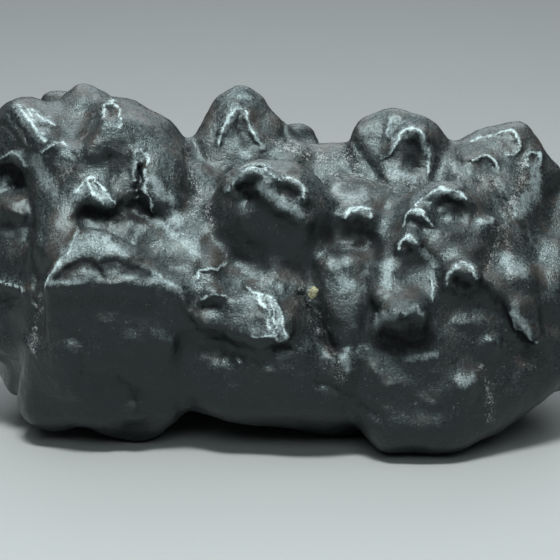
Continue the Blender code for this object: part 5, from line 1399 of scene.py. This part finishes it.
class Socket:
    """A shader socket that can be used in Python expressions. Each expression adds Math nodes."""

    def __init__(self, graph: "Graph", socket: bpy.types.NodeSocket) -> None:
        """Wraps a node's output."""
        self.graph = graph
        self.socket = socket

    def maths(self, operation: str, *values: Any) -> "Socket":
        """Adds a Math node of an operation."""
        return self.graph.node("ShaderNodeMath", {"operation": operation}, dict(enumerate(values)))

    def __add__(self, other: Any) -> "Socket":
        """Adds."""
        return self.maths("ADD", self, other)

    def __radd__(self, other: Any) -> "Socket":
        """Adds, with the socket on the right."""
        return self.maths("ADD", other, self)

    def __sub__(self, other: Any) -> "Socket":
        """Subtracts."""
        return self.maths("SUBTRACT", self, other)

    def __rsub__(self, other: Any) -> "Socket":
        """Subtracts the socket."""
        return self.maths("SUBTRACT", other, self)

    def __mul__(self, other: Any) -> "Socket":
        """Multiplies."""
        return self.maths("MULTIPLY", self, other)

    def __rmul__(self, other: Any) -> "Socket":
        """Multiplies, with the socket on the right."""
        return self.maths("MULTIPLY", other, self)

    def clamped(self, span: Span) -> "Socket":
        """Spreads a span over 0 to 1, with soft ends, and cuts off what is outside it.

        Args:
            span: the values that become 0 and 1.

        Returns:
            The new value.
        """
        settings = {"interpolation_type": "SMOOTHSTEP", "clamp": True}
        values = {"Value": self, "From Min": span[0], "From Max": span[1]}
        return self.graph.node("ShaderNodeMapRange", settings, values, "Result")


def weighed(shares: Sequence[float], *values: Socket) -> Socket:
    """Adds up values, each times its share."""
    parts = [value * share for share, value in zip(shares, values, strict=True)]
    return sum(parts[1:], parts[0])


class Graph:
    """The node tree of one material."""

    def __init__(self, name: str) -> None:
        """Makes the material with its main shader.

        Args:
            name: the material's name.
        """
        self.material = bpy.data.materials.new(name)
        self.material.use_nodes = True
        self.tree = self.material.node_tree
        self.shader = self.tree.nodes["Principled BSDF"]

    def fill(self, made: bpy.types.Node, values: dict[Any, Any]) -> None:
        """Sets or feeds a node's inputs.

        Args:
            made: the node.
            values: numbers, colours or sockets, by the input's name or place.
        """
        for key, value in values.items():
            socket = made.inputs[key]
            if isinstance(value, Socket):
                self.tree.links.new(value.socket, socket)
            else:
                socket.default_value = (*value, 1) if socket.type == "RGBA" else value

    def node(self, kind: str, settings: dict[str, Any], values: dict[Any, Any], out: Any = 0) -> Socket:
        """Adds a node.

        Args:
            kind: the node's type.
            settings: what is set on the node itself.
            values: what its inputs get, by name or place.
            out: which output is wanted.

        Returns:
            That output.
        """
        made = self.tree.nodes.new(kind)
        for key, value in settings.items():
            setattr(made, key, value)
        self.fill(made, values)
        return Socket(self, made.outputs[out])

    def attribute(self, name: str) -> Socket:
        """Reads a measure that is stored on the mesh."""
        return self.node("ShaderNodeAttribute", {"attribute_name": name}, {}, "Fac")

    def place(self) -> Socket:
        """Reads the point on the piece."""
        return self.node("ShaderNodeTexCoord", {}, {}, "Object")

    def stretched(self, at: Socket, turn: Triple, stretch: Triple) -> Socket:
        """Turns and stretches places, so that a noise of them runs in fibres."""
        values = {"Vector": at, "Rotation": turn, "Scale": stretch}
        return self.node("ShaderNodeMapping", {"vector_type": "POINT"}, values)

    def blend(self, share: Socket, first: Any, second: Any) -> Socket:
        """Mixes two colours; share is how much there is of the second."""
        return self.node("ShaderNodeMix", {"data_type": "RGBA"}, {0: share, 6: first, 7: second}, 2)

    def cover(self, share: Socket, colour: Colour, roughness: float, shine: float) -> None:
        """Lays a plain second shader over the main one.

        Args:
            share: how much it covers, from 0 to 1.
            colour: its colour.
            roughness: its roughness.
            shine: its specular level.
        """
        values = {"Base Color": colour, "Roughness": roughness, "Specular IOR Level": shine}
        second = self.node("ShaderNodeBsdfPrincipled", {}, values)
        main = Socket(self, self.shader.outputs[0])
        mixed = self.node("ShaderNodeMixShader", {}, {0: share, 1: main, 2: second})
        self.fill(self.tree.nodes["Material Output"], {"Surface": mixed})


@dataclass(frozen=True)
class Pattern:
    """A noise over a piece: its lumps per mm, how fine and strong its detail is, and its bump."""

    per_mm: float
    detail: float
    roughness: float
    strength: float = 0
    height_mm: float = 0

    def read(self, at: Socket) -> Socket:
        """Reads the noise at a point, from 0 to 1."""
        values = {"Vector": at, "Scale": self.per_mm / MM, "Detail": self.detail, "Roughness": self.roughness}
        return at.graph.node("ShaderNodeTexNoise", {}, values, "Fac")

    def bump(self, height: Socket, under: Socket | None) -> Socket:
        """Roughens a surface by the noise.

        Args:
            height: the noise as it was read.
            under: the normal that it roughens, or None for the surface's own.

        Returns:
            The new normal.
        """
        values = {"Strength": self.strength, "Distance": self.height_mm * MM, "Height": height}
        if under:
            values["Normal"] = under
        return height.graph.node("ShaderNodeBump", {}, values, "Normal")


@dataclass(frozen=True)
class StoneFinish:
    """Dark iron oxide: a pale granular film and painted top light where it faces up, black where it faces
    down, rims polished and painted bright, painted shade in hollows.

    Shares weigh the noises and what the skin has stored. A span is what becomes 0 and 1 of such a sum.
    """

    # The colours, from the first coat to the last, and the shine.
    dark: Colour = (0.008, 0.0088, 0.0095)
    film_and_top_light: Colour = (0.052, 0.064, 0.066)
    brown: Colour = (0.055, 0.043, 0.036)
    wear_and_highlight: Colour = (0.2, 0.235, 0.238)
    rim_polish_and_highlight: Colour = (0.44, 0.52, 0.525)
    dust: Colour = (0.34, 0.34, 0.33)
    ior: float = 1.5
    sheen: Colour = (0.85, 1, 1)

    # The noises, from coarse to fine. The fibres' noise is turned and stretched, to run down the slope.
    cloud: Pattern = Pattern(0.3, 3, 0.5, 0.35, 0.7)
    mottle: Pattern = Pattern(1.1, 4, 0.65, 0.5, 0.12)
    fibre: Pattern = Pattern(1.5, 3, 0.6, 0.4, 0.08)
    grain: Pattern = Pattern(3.2, 3, 0.7, 0.6, 0.11)
    sand: Pattern = Pattern(5.5, 2, 0.6, 0.7, 0.065)
    fibre_turn: Triple = (0.3, -0.5, 0)
    fibre_stretch: Triple = (1.6, 1, 0.35)

    # Two mixes of them: mottle, fibre and grain, and sand and grain.
    speckle_shares: Triple = (0.3, 0.3, 0.4)
    salt_shares: Span = (0.6, 0.4)

    # The film with painted top light, halves of speckle and salt, and its brown clouds, both by how far the
    # skin faces up.
    film_and_top_light_up: Span = (-0.1, 0.85)
    film_and_top_light_speckle: Span = (0.42, 0.58)
    film_and_top_light_salt: Span = (0.44, 0.58)
    film_and_top_light_share: float = 0.5
    brown_up: Span = (0, 0.8)
    brown_cloud: Span = (0.42, 0.66)
    brown_share: float = 0.6

    # The worn patches with painted highlights, of the patch attribute, speckle and salt, and the polished
    # rims with painted highlight lines, of rim, salt and mottle.
    wear_and_highlight_shares: Triple = (0.22, 0.7, 0.3)
    wear_and_highlight_span: Span = (0.54, 0.82)
    wear_and_highlight_limit: Span = (0, 0.8)
    rim_shares: Triple = (0.22, 0.5, 0.5)
    rim_span: Span = (0.56, 0.8)
    rim_limit: Span = (0.1, 0.9)

    # The dust, of salt, dust and mottle, which lies in creases and on tops, and pale specks everywhere.
    dust_shares: Triple = (1, 0.08, 0.4)
    dust_span: Span = (0.77, 0.9)
    dust_crease: float = 0.6
    dust_up: Span = (-0.2, 0.8)
    dust_top: float = 0.16
    speck_span: Span = (0.63, 0.69)
    speck_share: float = 0.55

    # The roughness, of grain, rim, dust and upward.
    rough: float = 0.22
    rough_shares: tuple[float, ...] = (0.2, -0.06, 0.1, -0.05)

    # The painted shade in hollows and shaded places, of the shade attribute and speckle, and its dull black.
    painted_shade_shares: Span = (0.8, 1.6)
    painted_shade_span: Span = (1.05, 1.65)
    painted_shade_share: float = 0.9
    painted_shade_colour: Colour = (0.006, 0.006, 0.007)
    painted_shade_roughness: float = 0.85
    painted_shade_shine: float = 0.12

    def build(self) -> bpy.types.Material:
        """Makes the material.

        Returns:
            The material.
        """
        graph = Graph("iron_oxide_with_painted_light")
        at = graph.place()
        cloud = self.cloud.read(at)
        mottle = self.mottle.read(at)
        fibre = self.fibre.read(graph.stretched(at, self.fibre_turn, self.fibre_stretch))
        grain = self.grain.read(at)
        sand = self.sand.read(at)
        rim, wear_and_highlight, painted_shade, dusty, upward = map(graph.attribute, ("rim", "wear_and_highlight", "painted_shade", "dust", "upward"))
        speckle = weighed(self.speckle_shares, mottle, fibre, grain)
        salt = weighed(self.salt_shares, sand, grain)

        # Painted top light: the pale film is laid only where the skin faces up, so faces turned down stay
        # dark.
        film_and_top_light = speckle.clamped(self.film_and_top_light_speckle) + salt.clamped(self.film_and_top_light_salt)
        film_and_top_light = upward.clamped(self.film_and_top_light_up) * film_and_top_light * self.film_and_top_light_share
        clouds = cloud.clamped(self.brown_cloud) * upward.clamped(self.brown_up) * self.brown_share
        # Painted highlights, partly wear: the worn patches are lighter.
        patches = weighed(self.wear_and_highlight_shares, wear_and_highlight, speckle, salt).clamped(self.wear_and_highlight_span)
        # Painted highlight, partly polish: a bright line along the rims.
        lines = weighed(self.rim_shares, rim, salt, mottle).clamped(self.rim_span)
        loose = weighed(self.dust_shares, salt, dusty, mottle).clamped(self.dust_span)
        lying = dusty * self.dust_crease + upward.clamped(self.dust_up) * self.dust_top
        coats = (
            (film_and_top_light, self.film_and_top_light),
            (clouds, self.brown),
            (patches * wear_and_highlight.clamped(self.wear_and_highlight_limit), self.wear_and_highlight),
            (lines * rim.clamped(self.rim_limit), self.rim_polish_and_highlight),
            (loose * lying, self.dust),
            (salt.clamped(self.speck_span) * self.speck_share, self.dust),
        )
        base: Any = self.dark
        for share, colour in coats:
            base = graph.blend(share, base, colour)

        normal = None
        kinds = (self.cloud, self.mottle, self.fibre, self.grain, self.sand)
        for kind, height in zip(kinds, (cloud, mottle, fibre, grain, sand)):
            normal = kind.bump(height, normal)
        roughness = self.rough + weighed(self.rough_shares, grain, rim, dusty, upward)
        shine = {"IOR": self.ior, "Specular Tint": self.sheen}
        graph.fill(graph.shader, {"Base Color": base, "Roughness": roughness, "Normal": normal, **shine})

        # Painted shade: a dull black shader laid over hollows and shaded places.
        painted_shade_cover = weighed(self.painted_shade_shares, painted_shade, speckle).clamped(self.painted_shade_span) * self.painted_shade_share
        graph.cover(painted_shade_cover, self.painted_shade_colour, self.painted_shade_roughness, self.painted_shade_shine)
        return graph.material


@dataclass(frozen=True)
class FloorFinish:
    """A plain pale floor, a little darker in wide patches."""

    colour: Colour = (0.31, 0.31, 0.307)
    darker: float = 0.97
    mottle: Pattern = Pattern(0.02, 2, 0.5)
    roughness: float = 0.8

    def build(self) -> bpy.types.Material:
        """Makes the material.

        Returns:
            The material.
        """
        graph = Graph("pale_floor")
        dark = tuple(self.darker * value for value in self.colour)
        base = graph.blend(self.mottle.read(graph.place()), dark, self.colour)
        graph.fill(graph.shader, {"Base Color": base, "Roughness": self.roughness})
        return graph.material


@dataclass(frozen=True)
class GrainFinish:
    """Dull pale yellow sand, browner in its dents."""

    pale: Colour = (0.36, 0.35, 0.22)
    brown: Colour = (0.2, 0.18, 0.1)
    mottle: Pattern = Pattern(4, 3, 0.6, 0.6, 0.1)
    pale_span: Span = (0.4, 0.6)
    roughness: float = 0.6

    def build(self) -> bpy.types.Material:
        """Makes the material.

        Returns:
            The material.
        """
        graph = Graph("pale_sand")
        mottle = self.mottle.read(graph.place())
        base = graph.blend(mottle.clamped(self.pale_span), self.brown, self.pale)
        normal = self.mottle.bump(mottle, None)
        graph.fill(graph.shader, {"Base Color": base, "Roughness": self.roughness, "Normal": normal})
        return graph.material


@dataclass
class Stone:
    """The stone: its crystals, its skin and its finish."""

    view: FrontView
    finish: StoneFinish = StoneFinish()

    def crystals(self) -> list[Crystal]:
        """Collects the crystals of the front, which the tables give, and the guessed ones.

        Returns:
            All of them.
        """
        made = []
        for group in GROUPS:
            for rows in group.values():
                made.append(Crystal([(self.view.place(*row[:3]), row[3]) for row in rows]))
        return made + GuessedCrystals(self.view).build()

    def build(self) -> bpy.types.Object:
        """Builds and dresses the stone.

        Returns:
            The piece.
        """
        obj = Skin(self.view).build(self.crystals(), "stone_skin")
        obj.data.materials.clear()
        obj.data.materials.append(self.finish.build())
        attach(obj, BODY)
        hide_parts(NODE)
        return obj


@dataclass
class Grain:
    """The pale grain of sand that is caught in the crevice. Lengths are in mm, as it is seen."""

    view: FrontView
    finish: GrainFinish = GrainFinish()
    across: float = 4.2
    up: float = -1.6
    reach: float = 40
    radii: Triple = (0.62, 0.45, 0.85)
    rounds: int = 3
    lean: float = 0.3
    uneven: float = 0.25
    uneven_spread: float = 0.5

    def build(self, skin: bpy.types.Object) -> bpy.types.Object:
        """Builds the grain where the view shows the crevice.

        Args:
            skin: the finished stone.

        Returns:
            The piece.
        """
        start, end = (self.view.place(self.across, self.up, out) + self.view.shift for out in (self.reach, 0))
        spot = ray_tree(skin.data).ray_cast(start * MM, (end - start).normalized())[0]
        stretch = Matrix.Diagonal((*(radius * MM for radius in self.radii), 1))
        at = Matrix.Translation(spot) @ Matrix.Rotation(self.lean, 4, "Y") @ stretch
        bm = bmesh.new()
        bmesh.ops.create_icosphere(bm, subdivisions=self.rounds, radius=1, matrix=at)
        for vertex in bm.verts:
            step = self.uneven * noise.noise(vertex.co / (self.uneven_spread * MM))
            vertex.co += step * (vertex.co - spot)
        obj = make_object(bm, "pale_grain")
        obj.data.materials.append(self.finish.build())
        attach(obj, BODY)
        return obj


def hang(data: bpy.types.ID, place: Vector, way: Vector) -> bpy.types.Object:
    """Puts a lamp or a camera in the scene.

    Args:
        data: the lamp or the camera.
        place: where it is, in metres.
        way: the direction that it faces.

    Returns:
        Its object.
    """
    obj = bpy.data.objects.new(data.name, data)
    bpy.context.scene.collection.objects.link(obj)
    obj.location = place
    obj.rotation_mode = "QUATERNION"
    obj.rotation_quaternion = way.to_track_quat("-Z", "Y")
    return obj


@dataclass(frozen=True)
class Lamp:
    """A rectangular lamp. Lengths are in metres."""

    name: str
    place: Triple
    size: Span
    power: float
    colour: Colour
    target: Triple = (0, 0, 0.02)

    def build(self) -> None:
        """Hangs the lamp."""
        light = bpy.data.lights.new(self.name, "AREA")
        light.shape = "RECTANGLE"
        light.size, light.size_y = self.size
        light.energy = self.power
        light.color = self.colour
        hang(light, Vector(self.place), Vector(self.target) - Vector(self.place))


@dataclass
class Studio:
    """The floor, the lamps, the surroundings and the camera. Lengths are in metres."""

    view: FrontView
    floor_size: float = 6
    floor_finish: FloorFinish = FloorFinish()
    world: Colour = (0.8, 0.9, 1)
    world_strength: float = 0.04
    nearest: float = 0.01
    lamps: tuple[Lamp, ...] = (
        Lamp("lamp", (-0.03, -0.12, 0.33), (0.11, 0.05), 1.45, (0.93, 1, 1)),
        Lamp("front", (0, -0.42, 0.38), (0.5, 0.2), 0.85, (0.85, 0.98, 1)),
        Lamp("dome", (0, 0.05, 0.5), (0.6, 0.6), 1.7, (0.85, 0.97, 1)),
        Lamp("back", (0, 1.3, 1.1), (1.6, 0.8), 14, (0.9, 0.98, 1), (0, 0.75, 0)),
    )

    def build(self) -> None:
        """Sets everything up."""
        self.add_floor()
        for lamp in self.lamps:
            lamp.build()
        self.add_world()
        self.add_camera()

    def add_floor(self) -> None:
        """Lays the floor that the stone rests on."""
        bm = bmesh.new()
        bmesh.ops.create_grid(bm, x_segments=1, y_segments=1, size=self.floor_size / 2)
        floor = make_object(bm, "floor")
        floor.data.materials.append(self.floor_finish.build())

    def add_world(self) -> None:
        """Gives the surroundings a little light."""
        world = bpy.data.worlds.new("studio")
        world.use_nodes = True
        background = world.node_tree.nodes["Background"]
        background.inputs["Color"].default_value = (*self.world, 1)
        background.inputs["Strength"].default_value = self.world_strength
        bpy.context.scene.world = world
        bpy.context.scene.view_settings.view_transform = "Standard"

    def add_camera(self) -> None:
        """Places the camera where the photograph was taken from."""
        camera = bpy.data.cameras.new("camera")
        camera.lens = camera.sensor_width * self.view.distance / self.view.width
        camera.clip_start = self.nearest
        bpy.context.scene.camera = hang(camera, self.view.eye(True), -self.view.way(Facing.OUT))


def write_sizes() -> None:
    """Brings the scene up to date."""
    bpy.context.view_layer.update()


def report(piece: bpy.types.Object) -> None:
    """Reports a piece."""
    log.info("%s: %d points, %d faces", piece.name, len(piece.data.vertices), len(piece.data.polygons))


def main() -> None:
    """Builds the stone and the studio round it."""
    logging.basicConfig(level=logging.INFO, format="%(message)s")
    view = FrontView()
    skin = Stone(view).build()
    report(skin)
    report(Grain(view).build(skin))
    studio = Studio(view)
    studio.build()
    log.info("studio: %d lamps", len(studio.lamps))
    write_sizes()


if __name__ == "__main__":
    main()
